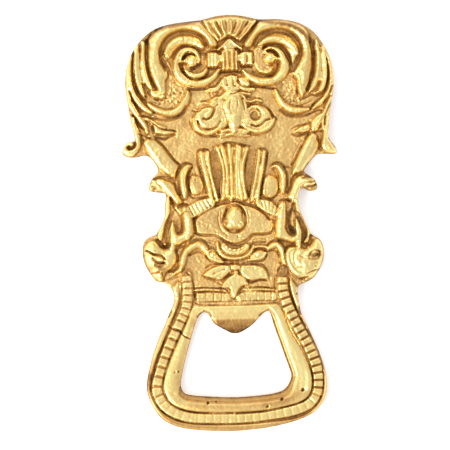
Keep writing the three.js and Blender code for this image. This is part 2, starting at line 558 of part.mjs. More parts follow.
const waistBands = {
  rod_left: [[-8.4, 20.9, 0.95], [-8, 17.5, 0.95], [-7.3, 13.8, 0.9], [-6.3, 10, 0.85], [-5.3, 7.7, 0.7]],
  rod_right: [[9.2, 20.5, 1.05], [8.4, 16.5, 1], [7.6, 12.5, 0.9], [6.9, 8.8, 0.8], [6.6, 7.4, 0.65]],
  horn_left: [
    [-12.3, 17.5, 0.3], [-13.9, 16, 0.65], [-14.8, 13.5, 0.9], [-15, 10.8, 0.9], [-14.6, 8.7, 0.6],
  ],
  horn_right: [[12.9, 16.8, 0.3], [14.3, 15.9, 0.6], [15.3, 13.4, 0.8], [15.5, 11, 0.8], [15.2, 9.3, 0.55]],
  ribbon_left: [
    [-8.9, -7.2, 0.35], [-9.8, -6.4, 0.5], [-11.3, -6, 0.6], [-13, -6.9, 0.65], [-14.5, -8.1, 0.7],
    [-15.2, -9.8, 0.7],
    [-15.4, -11.7, 0.7], [-16.4, -13.4, 0.6], [-18.2, -14.7, 0.35],
  ],
  ribbon_right: [
    [9.9, -7.7, 0.3], [11.2, -6.9, 0.45], [12.8, -6.7, 0.5], [14, -7.8, 0.5], [14.4, -9.6, 0.5],
    [14.5, -11.6, 0.4],
    [15.1, -13.2, 0.3],
  ],
};
for (const [name, points] of Object.entries(waistBands)) raise(name, band(points), 2.3);
raise("shoulder_left", blob([
  [-24.5, 11.3], [-23.9, 12.6], [-22.4, 13.5], [-20.5, 13.3], [-18.7, 12.7], [-17.5, 11.9], [-17, 10.5],
  [-16.4, 9], [-15.5, 7.5], [-14.9, 6.4], [-16, 6.1], [-17.1, 5.8], [-17.9, 7.1], [-18.8, 8.5],
  [-20.2, 9.9],
  [-22.3, 10.4],
]), 2);
raise("shoulder_right", blob([
  [25.3, 10.4], [24.2, 12.2], [22.7, 13.4], [21.2, 13.8], [19.4, 13.1], [18.4, 12], [17.6, 10.2], [17, 8.6],
  [16.6, 7.2], [17.8, 6.4], [19.2, 6.4], [19.3, 8.2], [20.3, 9.9], [22.2, 10.4], [23.8, 9.7],
]), 2);
raise("pad_left", blob([
  [-12.9, 13.3], [-11.9, 14.7], [-10.8, 14.5], [-10, 12.8], [-9.3, 10.8], [-8.8, 9.4], [-10, 8.8],
  [-12, 8.8],
  [-13.1, 9.9], [-13.3, 11.6],
]), 1.1);
raise("pad_right", blob([
  [11.9, 14.1], [10.7, 14.1], [9.8, 12.4], [9, 10], [8.9, 8.4], [10.2, 7.4], [12.3, 7.7], [13.6, 9],
  [14.1, 11],
  [13.7, 12.8],
]), 1.1);

function rays(webPoints, ribs) {
  const parts = ribs.map(([from, to]) => (
    prism(band([[...from, 0.32], [...to, 0.28]], 1), ground, ground + 1.6)
  ));
  return joined([prism(polygon(webPoints), ground, ground + 0.8), ...parts]);
}
add("rays_left", rays(
  [[-13.1, 5], [-11.2, 6.3], [-9, 7.2], [-7.2, 7.7], [-6.2, 6.1], [-8, 5], [-9.8, 4], [-11.5, 2.6]],
  [
    [[-12.6, 4.9], [-11.7, 3.2]], [[-10.9, 5.9], [-10, 4.4]], [[-9.2, 6.7], [-8.3, 5.3]],
    [[-7.5, 7.2], [-6.8, 6.1]],
  ],
), reliefBrass);
add("rays_right", rays(
  [[7.9, 5.8], [9, 6.3], [10.6, 6.5], [12.3, 6.2], [13, 4.1], [12.3, 2.2], [10.6, 3.4], [8.8, 4.8]],
  [[[8.6, 5.9], [9, 5.1]], [[10.2, 6], [9.8, 4.5]], [[11.8, 5.8], [10.9, 3.8]], [[12.6, 4.3], [12.1, 2.9]]],
), reliefBrass);

// ---------------------------------------------------------------- arched field with its boss
const fieldRise = 0.8;
const bossCentre = [0.4, 1.4];
const bossRing = [3.8, 4.3]; // half width and half height of the raised ring round the boss
const ringWidth = 0.65;
const fieldTop = ground + fieldRise;
function archField() {
  const field = blob([
    [-11.3, 1.1], [-9.5, 2.8], [-6, 4.6], [-2.6, 5.6], [0.5, 6.4], [3.6, 5.8], [6.5, 4.5], [9.6, 2.5],
    [11.9, 0.4],
    [12, -1.2], [11.6, -2.9], [8.5, -3.1], [5.6, -3.3], [3.6, -5], [0.6, -6], [-2, -5.3], [-4.2, -3.9],
    [-6.5, -3.2],
    [-10.5, -3.1], [-11.1, -1.3],
  ]);
  const ring = ellipse(bossCentre, ...bossRing);
  const within = ellipse(bossCentre, ...bossRing.map((half) => half - ringWidth), -1);
  return joined([prism(field, ground, fieldTop), prism(ring, ground, fieldTop + 0.5, within)]);
}
add("arch_field", archField(), reliefBrass);
raise("boss", ellipse(bossCentre, 2.5, 3.2), 2.1, fieldTop);

raise("column_left", blob([
  [-15.2, 2.8], [-13.9, 3.5], [-12.7, 3.1], [-12.1, 1], [-12, -1.5], [-11.9, -3.2], [-13, -4.2],
  [-14.8, -5.3],
  [-16.4, -6.1], [-18.2, -6.2], [-18.9, -5], [-18.8, -3], [-18.2, -1], [-17.6, -0.5], [-17.3, -2],
  [-16.6, -3],
  [-15.6, -2.6], [-15, -0.8], [-14.9, 1],
]), 2.5);
raise("column_right", blob([
  [14, 3.6], [15.1, 3.9], [16.1, 3.1], [15.6, 1], [15.7, -1], [16.3, -3.1], [17.7, -4.2], [19, -3.5],
  [19.1, -1.8],
  [18.7, 0.2], [19.1, 0.9], [19.8, -0.4], [20.3, -2.2], [20.4, -4.2], [19.9, -6], [18.8, -6.4],
  [16.6, -6.1],
  [14.7, -5.5], [13.1, -4.7], [12.7, -2.5], [12.7, 0], [13.2, 2],
]), 2.5);
// Each head bites the lower end of a thin strap that comes down from the shoulder above it.
const strapLeft = band([
  [-19.1, 7, 0.35], [-19.4, 5, 0.4], [-19.8, 2.7, 0.35], [-20.6, 0.2, 0.4], [-21.4, -2, 0.5],
  [-21.9, -3.9, 0.5],
  [-22.4, -5.6, 0.5], [-22.6, -7.4, 0.5],
]);
const headLeft = blob([
  [-26.6, -6.6], [-25.2, -4.9], [-23.6, -4.9], [-22.3, -6.2], [-21, -7.2], [-19.6, -7], [-18, -7.2],
  [-17.3, -8.6],
  [-17.4, -11], [-18.7, -13], [-20.7, -14.3], [-21.3, -16.1], [-22.6, -16.6], [-24.1, -15.4],
  [-25.7, -12.8],
  [-26.6, -10],
]);
const strapRight = band([
  [19.1, 5.3, 0.35], [19.5, 3.6, 0.35], [20.3, 1.7, 0.35], [21.2, -0.2, 0.4], [22.1, -2.2, 0.45],
  [22.5, -3.9, 0.4],
  [22.4, -5.5, 0.4], [22.4, -7.4, 0.4], [22.3, -8.8, 0.4],
]);
const headRight = blob([
  [21.3, -8.2], [23.2, -7.2], [24.2, -5.7], [25.5, -5.7], [26.7, -7.5], [26.8, -10], [26.2, -12.8],
  [24.9, -15],
  [23.8, -16.4], [22, -17.2], [19.7, -16.3], [17.6, -14.6], [16.2, -12.3], [15.8, -10], [16.4, -8.2],
  [18, -7.4],
  [19.7, -7.7],
]);
const withStrap = (head, strap) => joined([
  prism(head, ground, ground + 2.9), prism(strap, ground, ground + 2),
]);
add("head_left", withStrap(headLeft, strapLeft), reliefBrass);
add("head_right", withStrap(headRight, strapRight), reliefBrass);

// ---------------------------------------------------------------- swags, eyes and bow below the arch
const garland = band([
  [-4.9, -6.7, 0.3], [-4.1, -8.4, 0.45], [-2.2, -10.2, 0.55], [0.4, -10.7, 0.55], [2.9, -10.2, 0.55],
  [4.9, -8.6, 0.45], [5.8, -7.6, 0.3],
]);
const beadSwag = band([
  [-3.6, -6.9, 0.4], [-2, -8.2, 0.65], [0.4, -8.6, 0.7], [2.6, -8.1, 0.65], [4.2, -6.9, 0.4],
]);
const swagWeb = band([
  [-3.6, -7.9, 0.4], [-2, -9.2, 0.7], [0.4, -9.7, 0.7], [2.7, -9.2, 0.7], [4.6, -7.9, 0.4],
]);
add("garland", joined([
  prism(garland, ground, ground + 1.6), prism(beadSwag, ground, ground + 1.4),
  prism(swagWeb, ground, ground + 0.8),
]), reliefBrass);
raise("almond_left", blob([
  [-8.1, -8.5], [-7.2, -7.6], [-6, -7.7], [-5.3, -8.7], [-4.2, -10.1], [-3.4, -11], [-5.2, -11],
  [-7.2, -10.4],
  [-8.1, -9.4],
]), 1.6);
raise("almond_right", blob([
  [4.6, -10.5], [5.4, -9.4], [6.6, -8.5], [8.2, -8.3], [9.4, -9.2], [9, -10.3], [7.8, -11], [6, -11.2],
]), 1.6);
raise("bow_left", blob([
  [-9, -15.3], [-8.1, -14.1], [-6.3, -13.2], [-3.7, -13.2], [-1.7, -13.8], [-1.5, -14.7], [-2.9, -15.9],
  [-4.7, -17], [-6.4, -16.2], [-7.9, -15.9],
]), 2);
raise("bow_right", blob([
  [2.3, -13.3], [5, -13], [8, -13.4], [8.8, -14.5], [9.7, -15.8], [9.4, -16.8], [7.4, -16.7], [5.4, -17.4],
  [3.5, -16.2], [2.2, -14.9],
]), 2);
const bowKnot = ellipse([0.4, -13.4], 1.15, 1.1);
const bowTail = blob([
  [-0.5, -15.4], [-1.9, -16.9], [-3.7, -18.6], [-2, -19], [-1, -20.4], [-0.3, -21.9], [0.7, -20.7],
  [2.1, -18.9],
  [3.8, -17.9], [2.7, -16.6], [1.3, -15.5],
]);
const bowNeck = polygon([[-0.3, -15.9], [-0.3, -13.6], [1.1, -13.6], [1.1, -15.9]]);
add("bow_tail", joined([
  prism(bowKnot, ground, ground + 2.2), prism(bowTail, ground, ground + 2),
  prism(bowNeck, ground, ground + 1.4),
]), reliefBrass);

export default opener;
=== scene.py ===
# A cast brass bottle opener, worked out as one relief and cut into a closed piece for each of its motifs.
# Lengths are millimetres until a mesh is written, which is in metres.
import json
import math

import bpy
import numpy as np
from mathutils import Matrix, Vector


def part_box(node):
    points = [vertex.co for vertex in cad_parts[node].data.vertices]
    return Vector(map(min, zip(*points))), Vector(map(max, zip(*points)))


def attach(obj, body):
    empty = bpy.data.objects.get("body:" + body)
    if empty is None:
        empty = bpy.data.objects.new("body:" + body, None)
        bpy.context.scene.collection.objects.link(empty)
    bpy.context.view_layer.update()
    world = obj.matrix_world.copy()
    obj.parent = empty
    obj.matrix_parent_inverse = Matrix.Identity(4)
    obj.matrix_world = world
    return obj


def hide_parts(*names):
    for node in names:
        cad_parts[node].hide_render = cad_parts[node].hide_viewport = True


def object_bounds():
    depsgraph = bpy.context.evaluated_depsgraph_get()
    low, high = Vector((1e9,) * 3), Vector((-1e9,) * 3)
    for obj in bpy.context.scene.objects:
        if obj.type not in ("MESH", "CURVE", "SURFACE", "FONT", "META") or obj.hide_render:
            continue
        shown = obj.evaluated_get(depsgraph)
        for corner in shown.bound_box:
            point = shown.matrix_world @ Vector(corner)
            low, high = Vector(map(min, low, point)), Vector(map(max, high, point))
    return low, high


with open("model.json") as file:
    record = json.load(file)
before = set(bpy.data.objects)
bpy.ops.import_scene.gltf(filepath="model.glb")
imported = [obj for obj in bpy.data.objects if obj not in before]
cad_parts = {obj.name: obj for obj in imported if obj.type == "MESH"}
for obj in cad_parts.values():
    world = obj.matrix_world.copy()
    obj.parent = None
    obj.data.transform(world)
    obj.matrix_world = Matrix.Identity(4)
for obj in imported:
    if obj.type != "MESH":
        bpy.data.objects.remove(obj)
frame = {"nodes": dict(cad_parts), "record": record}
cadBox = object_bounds()
mm = 0.001

casting = dict(
    cell=0.16,  # between two points of the relief
    pocket=2.2,  # level that the motifs are let into the plate
    topRound=0.75,  # edge radius of the face
    backRound=0.45,  # edge radius of the back
    creep=0.45,  # how far a motif's skirt runs out over the ground
    outline=0.12,  # smoothing of the outline that is read from the frame
    lap=0.08,  # how far a motif's foot runs past its outline
    crowd=0.8,  # how far from the outline the points are drawn closer together
    soften=0.13,  # rounding that the sand mould gives to every crease
    seed=11,
)

# Strokes are drawn from the middle of the opener, and follow the frame's real width and length.
drawing = dict(width=64.7, length=124.7, centreX=-0.35, centreY=0.05)
low = np.array(cadBox[0]) / mm
high = np.array(cadBox[1]) / mm
scaleX = (high[0] - low[0]) / drawing["width"]
scaleY = (high[1] - low[1]) / drawing["length"]


def place(points):
    # Drawn points to their places on the opener: centred, then scaled to the frame.
    points = np.array(points, float)
    placed = points.copy()
    placed[:, 0] = (points[:, 0] - drawing["centreX"]) * scaleX + (low[0] + high[0]) / 2
    placed[:, 1] = (points[:, 1] - drawing["centreY"]) * scaleY + (low[1] + high[1]) / 2
    return placed


cell = casting["cell"]
margin = 3 * cell
gridX, gridY = np.meshgrid(np.arange(low[0] - margin, high[0] + margin, cell),
                           np.arange(low[1] - margin, high[1] + margin, cell))
rows, cols = gridX.shape


def window(x0, x1, y0, y1):
    # The part of the grid that holds a box, as a pair of slices.
    def span(a, b, start, count):
        return slice(max(0, int((a - start) / cell) - 1), min(count, int((b - start) / cell) + 3))
    return span(y0, y1, gridY[0, 0], rows), span(x0, x1, gridX[0, 0], cols)


def blurred(field, radius, weight=None):
    # Gaussian blur of that radius in mm. With a weight, only weighted points count.
    across = np.fft.rfftfreq(cols, cell)[None, :]
    along = np.fft.fftfreq(rows, cell)[:, None]
    kernel = np.exp(-2 * (math.pi * radius) ** 2 * (across ** 2 + along ** 2))
    def blur(values):
        return np.fft.irfft2(np.fft.rfft2(values) * kernel, values.shape)
    if weight is None:
        return blur(field)
    return blur(field * weight) / np.maximum(blur(weight), 1e-6)


def baseWalls(node):
    # The foot of each upright wall of a CAD node, as rows of two (x, y) ends, outside to the right.
    data = frame["nodes"][node].data
    co = np.empty(len(data.vertices) * 3)
    data.vertices.foreach_get("co", co)
    corners = np.empty(len(data.loops), int)
    data.loops.foreach_get("vertex_index", corners)
    faces = co.reshape(-1, 3)[corners.reshape(-1, 3)] / mm
    normal = np.cross(faces[:, 1] - faces[:, 0], faces[:, 2] - faces[:, 0])
    upright = np.abs(normal[:, 2]) < 0.3 * np.linalg.norm(normal, axis=1)
    edges = np.concatenate([faces[upright][:, [a, b]] for a, b in ((0, 1), (1, 2), (2, 0))])
    foot = (edges[:, :, 2] < faces[:, :, 2].min() + 0.01).all(axis=1)
    return edges[foot][:, :, :2]


def depthInside(walls, x, y):
    # Distance to the nearest wall, positive inside: an odd number of walls lies to the right.
    nearest = np.full(x.shape, 1e9)
    inside = np.zeros(x.shape, bool)
    for (ax, ay), (bx, by) in walls:
        ux, uy = bx - ax, by - ay
        share = np.clip(((x - ax) * ux + (y - ay) * uy) / (ux * ux + uy * uy + 1e-12), 0, 1)
        nearest = np.minimum(nearest, (x - ax - share * ux) ** 2 + (y - ay - share * uy) ** 2)
        if ay != by:
            inside ^= ((ay > y) != (by > y)) & (x < ax + (y - ay) * ux / uy)
    return np.where(inside, 1, -1) * np.sqrt(nearest)


baseNodes = ["back_plate", "opener_loop", "cap_tooth"]
baseFoot = {node: baseWalls(node) for node in baseNodes}
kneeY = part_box("opener_loop")[1][1] / mm


def outerWalls():
    # The walls of the plate, loop and tooth that face the open air and not each other.
    kept = []
    for node, walls in baseFoot.items():
        ends = walls[:, 1] - walls[:, 0]
        out = np.stack([ends[:, 1], -ends[:, 0]], 1) / np.linalg.norm(ends, axis=1)[:, None]
        probe = walls.mean(axis=1) + 0.04 * out  # a point just outside each wall
        toAir = np.ones(len(walls), bool)
        for other in baseNodes:
            if other != node:
                toAir &= depthInside(baseFoot[other], probe[:, 0], probe[:, 1]) < 0
        kept.append(walls[toAir])
    return np.concatenate(kept)


edge = blurred(depthInside(outerWalls(), gridX, gridY), casting["outline"])
metal = edge > 0
print("outline read from the frame:", metal.sum(), "points of metal")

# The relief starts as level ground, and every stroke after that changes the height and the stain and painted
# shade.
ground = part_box("back_plate")[1][2] / mm
height = np.full(gridX.shape, ground)
owner = np.zeros(gridX.shape, int)  # number of the motif that each point belongs to, 0 for the ground
chance = np.random.default_rng(casting["seed"])


def cloudy(radius):
    # Random bumps of about that radius in mm, with a spread of 1: white noise, blurred and evened out.
    bumps = blurred(chance.standard_normal(gridX.shape), radius)
    return bumps / bumps.std()


# The share of each cut that the years have left, which drifts over the casting.
use = dict(radius=0.9, middle=0.85, spread=0.3, least=0.25, most=1.3)
wear = np.clip(use["middle"] + use["spread"] * cloudy(use["radius"]), use["least"], use["most"])
stippled = np.zeros(gridX.shape)  # 1 where the ground is punched all over
stainAndShade = np.zeros(gridX.shape)  # extra tarnish and painted shade, or rubbing and painted highlights where it is negative
reach = np.full(gridX.shape, -9.0)  # depth inside that motif's footprint
motifs = {}


def spline(points, steps=6):
    # A smooth line through points, with any columns after x and y carried along.
    p = np.array(points, float)
    p = np.concatenate([[2 * p[0] - p[1]], p, [2 * p[-1] - p[-2]]])
    t = np.linspace(0, 1, steps, endpoint=False)[:, None]
    a, b, c, d = p[:-3, None], p[1:-2, None], p[2:-1, None], p[3:, None]
    curve = 2 * b + (c - a) * t + (2 * a - 5 * b + 4 * c - d) * t ** 2 + (3 * b - a - 3 * c + d) * t ** 3
    line = 0.5 * curve
    return np.concatenate([line.reshape(-1, p.shape[1]), p[-2:-1]])


def strokeShare(points, width, steps=6):
    # How near each grid point is to a stroke: 0 on its line, 1 at its half-width, which a point may give
    # as its third number. Returns the window, the share and the length run along the line.
    p = np.array([(*point, width)[:3] for point in points], float)
    p[:, :2] = place(p[:, :2])
    line = spline(p, steps) if len(p) > 2 else p
    line[:, 2] = np.maximum(line[:, 2], 0.05)
    pad = line[:, 2].max() + cell
    area = window(line[:, 0].min() - pad, line[:, 0].max() + pad, line[:, 1].min() - pad,
                  line[:, 1].max() + pad)
    x, y = gridX[area], gridY[area]
    share = np.full(x.shape, 9.0)
    run = np.zeros(x.shape)
    passed = 0.0
    for (ax, ay, aw), (bx, by, bw) in zip(line[:-1], line[1:]):
        ux, uy = bx - ax, by - ay
        length = math.hypot(ux, uy)
        t = np.clip(((x - ax) * ux + (y - ay) * uy) / (length * length + 1e-12), 0, 1)
        here = np.hypot(x - ax - t * ux, y - ay - t * uy) / (aw + (bw - aw) * t)
        run = np.where(here < share, passed + t * length, run)
        share = np.minimum(share, here)
        passed += length
    return area, share, run


def soft(share):
    # A smooth hump: 1 on the line, level and 0 at the half-width.
    return np.clip(1 - share ** 2, 0, 1) ** 2


def fade(value, start, over):
    # 0 up to the start, 1 from that much over it, and straight between.
    return np.clip((value - start) / over, 0, 1)


def ridge(rise, width, *points, rubAndHighlight=0.12):
    # A soft ridge added to what is there, and brightened as rubbing with a painted highlight.
    area, share, _ = strokeShare(points, width)
    height[area] += rise * soft(share)
    stainAndShade[area] -= rubAndHighlight * soft(share)


def groove(depth, width, *points, dark=0.35):
    # A soft groove cut in what is there, and darkened: stain in the groove, and painted shadow where the line
    # stands under a motif.
    area, share, _ = strokeShare(points, width)
    height[area] -= depth * soft(share) * wear[area]
    stainAndShade[area] += dark * soft(share) * wear[area]


def tint(dark, width, *points):
    # Darkens the brass along a stroke, or brightens it where dark is negative.
    area, share, _ = strokeShare(points, width)
    stainAndShade[area] += dark * soft(share)


def rod(top, width, *points, rubAndHighlight=0.0, flat=0.0):
    # A half-round rod laid on the ground: the surface is lifted to it, never lowered.
    area, share, _ = strokeShare(points, width)
    dome = np.sqrt(np.clip(1 - np.clip((share - flat) / (1 - flat), 0, 1) ** 2, 0, 1))
    height[area] = np.maximum(height[area], np.where(share < 1, ground + top * dome, 0))
    # Brightened along its top as rubbing with a painted highlight.
    stainAndShade[area] -= rubAndHighlight * soft(share)


def level(top, width, *points, dark=0.0):
    # Presses or lifts the surface to a level over the ground, along a stroke.
    area, share, _ = strokeShare(points, width)
    hold = np.clip(2 * soft(share), 0, 1)
    height[area] = height[area] * (1 - hold) + (ground + top) * hold
    stainAndShade[area] += dark * soft(share)


def ball(top, radius, x, y, squash=1.0, turn=0.0, rubAndHighlight=0.1):
    # A round or oval button: an ellipsoid that rises from the ground, never lowering it.
    (cx, cy), = place([(x, y)])
    pad = radius * max(1, squash) + cell
    area = window(cx - pad, cx + pad, cy - pad, cy + pad)
    dx, dy = gridX[area] - cx, gridY[area] - cy
    c, s = math.cos(math.radians(turn)), math.sin(math.radians(turn))
    share = np.hypot(dx * c + dy * s, (dy * c - dx * s) / squash) / radius
    height[area] = np.maximum(height[area], np.where(share < 1,
                                                     ground + top * np.sqrt(np.clip(1 - share ** 2, 0, 1)),
                                                     0))
    # Brightened on its top as rubbing with a painted highlight.
    stainAndShade[area] -= rubAndHighlight * soft(share)


def motif(node, rise, shoulder, foot=ground):
    # A raised motif over a CAD node's footprint: a quarter round of the shoulder's width from its foot, and
    # level inside that. Where two motifs meet, a point belongs to the later one.
    lowest, highest = (np.array(c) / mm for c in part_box(node))
    area = window(lowest[0] - 1, highest[0] + 1, lowest[1] - 1, highest[1] + 1)
    inside = depthInside(baseWalls(node), gridX[area], gridY[area])
    share = np.clip((inside + casting["lap"]) / shoulder, 0, 1)
    top = foot + rise * np.sqrt(1 - (1 - share) ** 2)
    motifs[node] = len(motifs) + 1
    mine = (inside > reach[area]) | (inside > 0)
    height[area] = np.where(inside > -casting["lap"], np.maximum(height[area], top), height[area])
    owner[area] = np.where(mine, motifs[node], owner[area])
    reach[area] = np.where(mine, inside, reach[area])


# Each motif's rise over its foot, and the width of its rounded shoulder.
loop = dict(loop_rim=(1.0, 0.7), bead_border=(0.1, 0.4), loop_band=(1.15, 1.8), bead_row=(0.15, 0.4))
crest = dict(palmette=(1.2, 0.5), tie=(1.9, 0.9), volute_left=(2.4, 2.3), volute_right=(2.4, 2.3),
             shell_left=(1.4, 1.9), shell_right=(1.4, 1.9), spiral_left=(2.5, 1.0), spiral_right=(2.5, 1.0),
             pendant=(1.7, 0.8))
wings = dict(feathers_left=(1.8, 0.9), feathers_right=(1.8, 0.9), wing_rim_left=(1.8, 0.9),
             wing_tail_left=(1.8, 0.9), hook_left=(1.9, 0.9), wing_rim_right=(1.8, 0.9),
             wing_tail_right=(1.8, 0.9), crescent_left=(1.9, 1.0), crescent_right=(1.9, 1.0),
             spur_right=(1.8, 1.0), sprig_left=(1.3, 0.8), sprig_right=(1.3, 0.8))
waist = dict(lotus_bud=(2.0, 1.5), lotus_scroll_left=(1.6, 1.2), lotus_scroll_right=(1.6, 1.2),
             arm_left=(1.8, 2.4), arm_right=(1.8, 2.4), sheaf=(2.0, 1.2), rod_left=(2.1, 1.0),
             rod_right=(2.1, 1.0), horn_left=(2.0, 0.9), horn_right=(2.0, 0.9), shoulder_left=(1.8, 1.4),
             shoulder_right=(1.8, 1.4), pad_left=(1.2, 2.2), pad_right=(1.2, 2.2), rays_left=(0.9, 0.5),
             rays_right=(0.9, 0.5))
arch = dict(arch_field=(0.7, 0.6), column_left=(2.2, 1.6), column_right=(2.2, 1.6), head_left=(2.6, 3.2),
            head_right=(2.6, 3.2), ribbon_left=(1.7, 0.6), ribbon_right=(1.7, 0.6), garland=(1.2, 0.6),
            almond_left=(1.4, 0.8), almond_right=(1.4, 0.8), bow_left=(1.5, 0.7), bow_right=(1.5, 0.7),
            bow_tail=(1.5, 0.7))
for node, (rise, shoulder) in {**loop, **crest, **wings, **waist, **arch}.items():
    motif(node, rise, shoulder)
motif("boss", 1.9, 1.6, foot=ground + arch["arch_field"][0])  # it stands on the arch's field
print("relief laid out:", len(motifs), "motifs")


def stipple(width, *points):
    # Marks ground along a stroke to be punched.
    area, share, _ = strokeShare(points, width)
    stippled[area] = np.maximum(stippled[area], np.clip(3 * (1 - share), 0, 1))


# Depths, rises and half-widths below are millimetres, and a point may carry its own half-width. The strokes
# are in the order that they are cut in, because a rod never lowers what is there and a level flattens it.
def carveCrest():
    # The two volutes with their spirals, and the shells inside them.
    # Left volute: deep groove under its band, bright inner edge, tail with a lit left flank
    groove(1.1, 0.72, (-6.2, 53.0), (-6.8, 54.8), (-8.3, 56.3), (-10.5, 57.2), (-13, 57.5), (-16, 56.8),
           (-18.2, 55.5), (-19.5, 54), (-20.3, 52), (-20.4, 50.3), (-19.8, 48.8), (-18.9, 47.2), dark=0.28)
    rod(2.0, 1.5, (-19.2, 51, 0.5), (-17.8, 53.2, 1.2), (-15.5, 54.6), (-12.8, 55), (-10, 54.3),
        (-8, 52.8, 0.8), rubAndHighlight=0.12)
    level(0.2, 1.0, (-20, 50), (-19, 48), (-17.8, 45.8), (-17, 44.4), dark=0.45)
    ridge(0.2, 0.8, (-5.0, 53.2), (-6.4, 55.2), (-8.3, 57), (-10.5, 58.1), (-13, 58.5), (-15.5, 58.2),
          (-18, 57.4), (-20.2, 56.2), (-21.4, 54.5), (-21.8, 52.5), (-21.6, 49.5), rubAndHighlight=0.2)
    ridge(0.35, 1.0, (-24.2, 52), (-23.9, 49), (-23.2, 46), (-22.2, 43), (-21.2, 40.6), (-20.4, 38.6),
          rubAndHighlight=0.3)
    groove(1.1, 0.42, (-24.5, 55.2), (-24.8, 52), (-25.2, 50), (-24.8, 47.5), (-24, 44.6), (-22.9, 42),
           (-22.1, 40.8))
    groove(0.7, 0.45, (-24.6, 39.6), (-23.5, 38.5), (-22, 37.6), (-20.4, 37.3))
    rod(1.4, 1.3, (-23.6, 39.7, 0.6), (-22.3, 39), (-20.8, 38.4, 1.0), (-19.9, 38.3, 0.5))
    rod(1.6, 0.7, (-19.0, 45.6, 0.4), (-19.2, 44.3), (-19.9, 43.2), (-20, 41.5), (-20, 39.5), rubAndHighlight=0.2)
    # Left shell
    groove(0.35, 0.3, (-13.6, 56.2), (-13.4, 54.8), dark=0.3)
    groove(0.35, 0.3, (-10.6, 56.2), (-10.5, 55), dark=0.3)
    groove(0.4, 0.3, (-8.7, 54.6), (-7.6, 53), dark=0.35)
    groove(0.6, 0.6, (-16.6, 50), (-15.4, 52.0), (-13.5, 53), (-11.5, 52.9), (-9.6, 52.2), (-8.4, 50.9),
           dark=0.25)
    groove(0.9, 0.8, (-8.8, 51.2), (-7.2, 50.9), dark=0.35)
    rod(0.7, 0.35, (-18.6, 48.6), (-17.9, 47.2), (-17.2, 45.8), rubAndHighlight=-0.1)
    # Left spiral: an open band, a lip over a deep pocket, and a ring that winds in to the knob
    rod(2.6, 1.3, (-15.2, 49.8, 0.5), (-16.0, 48.6, 0.9), (-16.1, 46.5, 1.1), (-15.2, 44.2), (-13.3, 42.6),
        (-10.5, 41.9), (-7.8, 42.1), (-5.6, 43.2, 1.1), (-4.1, 44.6, 0.9), (-3.1, 46, 0.5), rubAndHighlight=0.1)
    ridge(0.1, 0.7, (-16.6, 48), (-16.3, 46), (-15.5, 44), (-14, 42.4), (-12, 41.5), rubAndHighlight=0.3)
    level(1.3, 2.3, (-11.4, 48.4), (-10.8, 47.2), dark=0.05)
    rod(2.3, 0.9, (-13.6, 46.1, 0.4), (-12, 44.7), (-10, 44.2, 1.0), (-8, 44.8), (-6.9, 46.1, 0.6), rubAndHighlight=0.05)
    ridge(0.3, 0.45, (-13.7, 46.5), (-12, 45.4), (-10, 45.1), (-8.2, 45.9), rubAndHighlight=0.2)
    level(0.9, 0.8, (-13.5, 47.0), (-12.5, 46.4), dark=0.15)
    groove(0.7, 0.35, (-14, 46.6), (-13.2, 44.7), (-11.9, 43.4), (-10.2, 42.9), (-8.4, 43.2), (-6.9, 44.2),
           (-6.1, 45.5), dark=0.35)
    level(0.3, 0.95, (-11.2, 46.3), (-9.8, 46.9), (-8.6, 47.6), dark=0.85)
    rod(2.5, 0.55, (-14.7, 49.0, 0.4), (-14.2, 50.5), (-12.8, 51.7), (-11, 51.6), (-9.7, 50.6), (-9.1, 49.2),
        (-9.3, 48.2, 0.4), rubAndHighlight=0.2)
    groove(0.7, 0.5, (-14, 48.4), (-13.7, 49.6), (-12.7, 50.5), (-11.5, 50.7), (-10.4, 50.3), dark=0.35)
    ridge(0.3, 0.8, (-8.1, 49.2), (-8, 48.3), rubAndHighlight=0.15)
    ball(2.9, 2.0, -11.3, 48.7, rubAndHighlight=0.25)
    groove(0.2, 0.3, (-12, 49.6), (-11.4, 48.8), (-11.8, 48), dark=0.12)
    # Right volute
    groove(1.1, 0.72, (7.9, 53.4), (8.9, 55.1), (10.5, 56.3), (12.5, 57), (15, 57), (17.5, 56.5),
           (19.5, 55.6), (21, 54.1), (21.7, 52), (21.7, 50), (21.2, 48.5), dark=0.28)
    rod(2.0, 1.4, (9.2, 53.2, 0.5), (11.5, 54.5, 1.2), (14.5, 54.8), (17.3, 53.9), (19.4, 52.2),
        (20.5, 50.3, 0.7), rubAndHighlight=0.12)
    level(0.2, 1.0, (21, 49), (20, 47), (19, 45.7), (18.3, 44.9), dark=0.4)
    ridge(0.25, 0.8, (5.2, 53.6), (7, 55.5), (8.9, 57.2), (11, 58.1), (14, 58.3), (17, 58), (19.4, 57.2),
          (21, 55.8), (22.2, 53.6), (22.6, 51.4), rubAndHighlight=0.3)
    groove(1.2, 0.5, (24.6, 53.8), (25, 51.5), (25.5, 49), (25.5, 46.5), (25, 44), (24.1, 41.8), (23, 39.8),
           dark=0.4)
    groove(0.3, 0.25, (24.8, 51), (24.9, 48), (24.7, 45.5), (24.1, 43), dark=0.2)
    rod(2.2, 0.8, (19.1, 44.5, 0.4), (20.5, 43.9), (21.1, 42.5), (21.2, 40.8), (21.4, 39),
        (21.8, 37.6, 0.4), rubAndHighlight=0.3)
    groove(0.8, 0.5, (19.6, 43.4), (20.4, 42.6), (20.5, 40.6), (20.6, 38.8), dark=0.3)
    # Right shell
    ridge(0.2, 1.0, (10.5, 54), (13, 54.9), (16, 54.8), (18, 53.7), (19.6, 51.8), rubAndHighlight=0.2)
    groove(0.5, 0.8, (10, 51.8), (12, 52.9), (14.2, 52.8), (16, 51.9), (17.4, 50.4), (18.2, 48.6),
           (18.8, 46.6), dark=0.22)
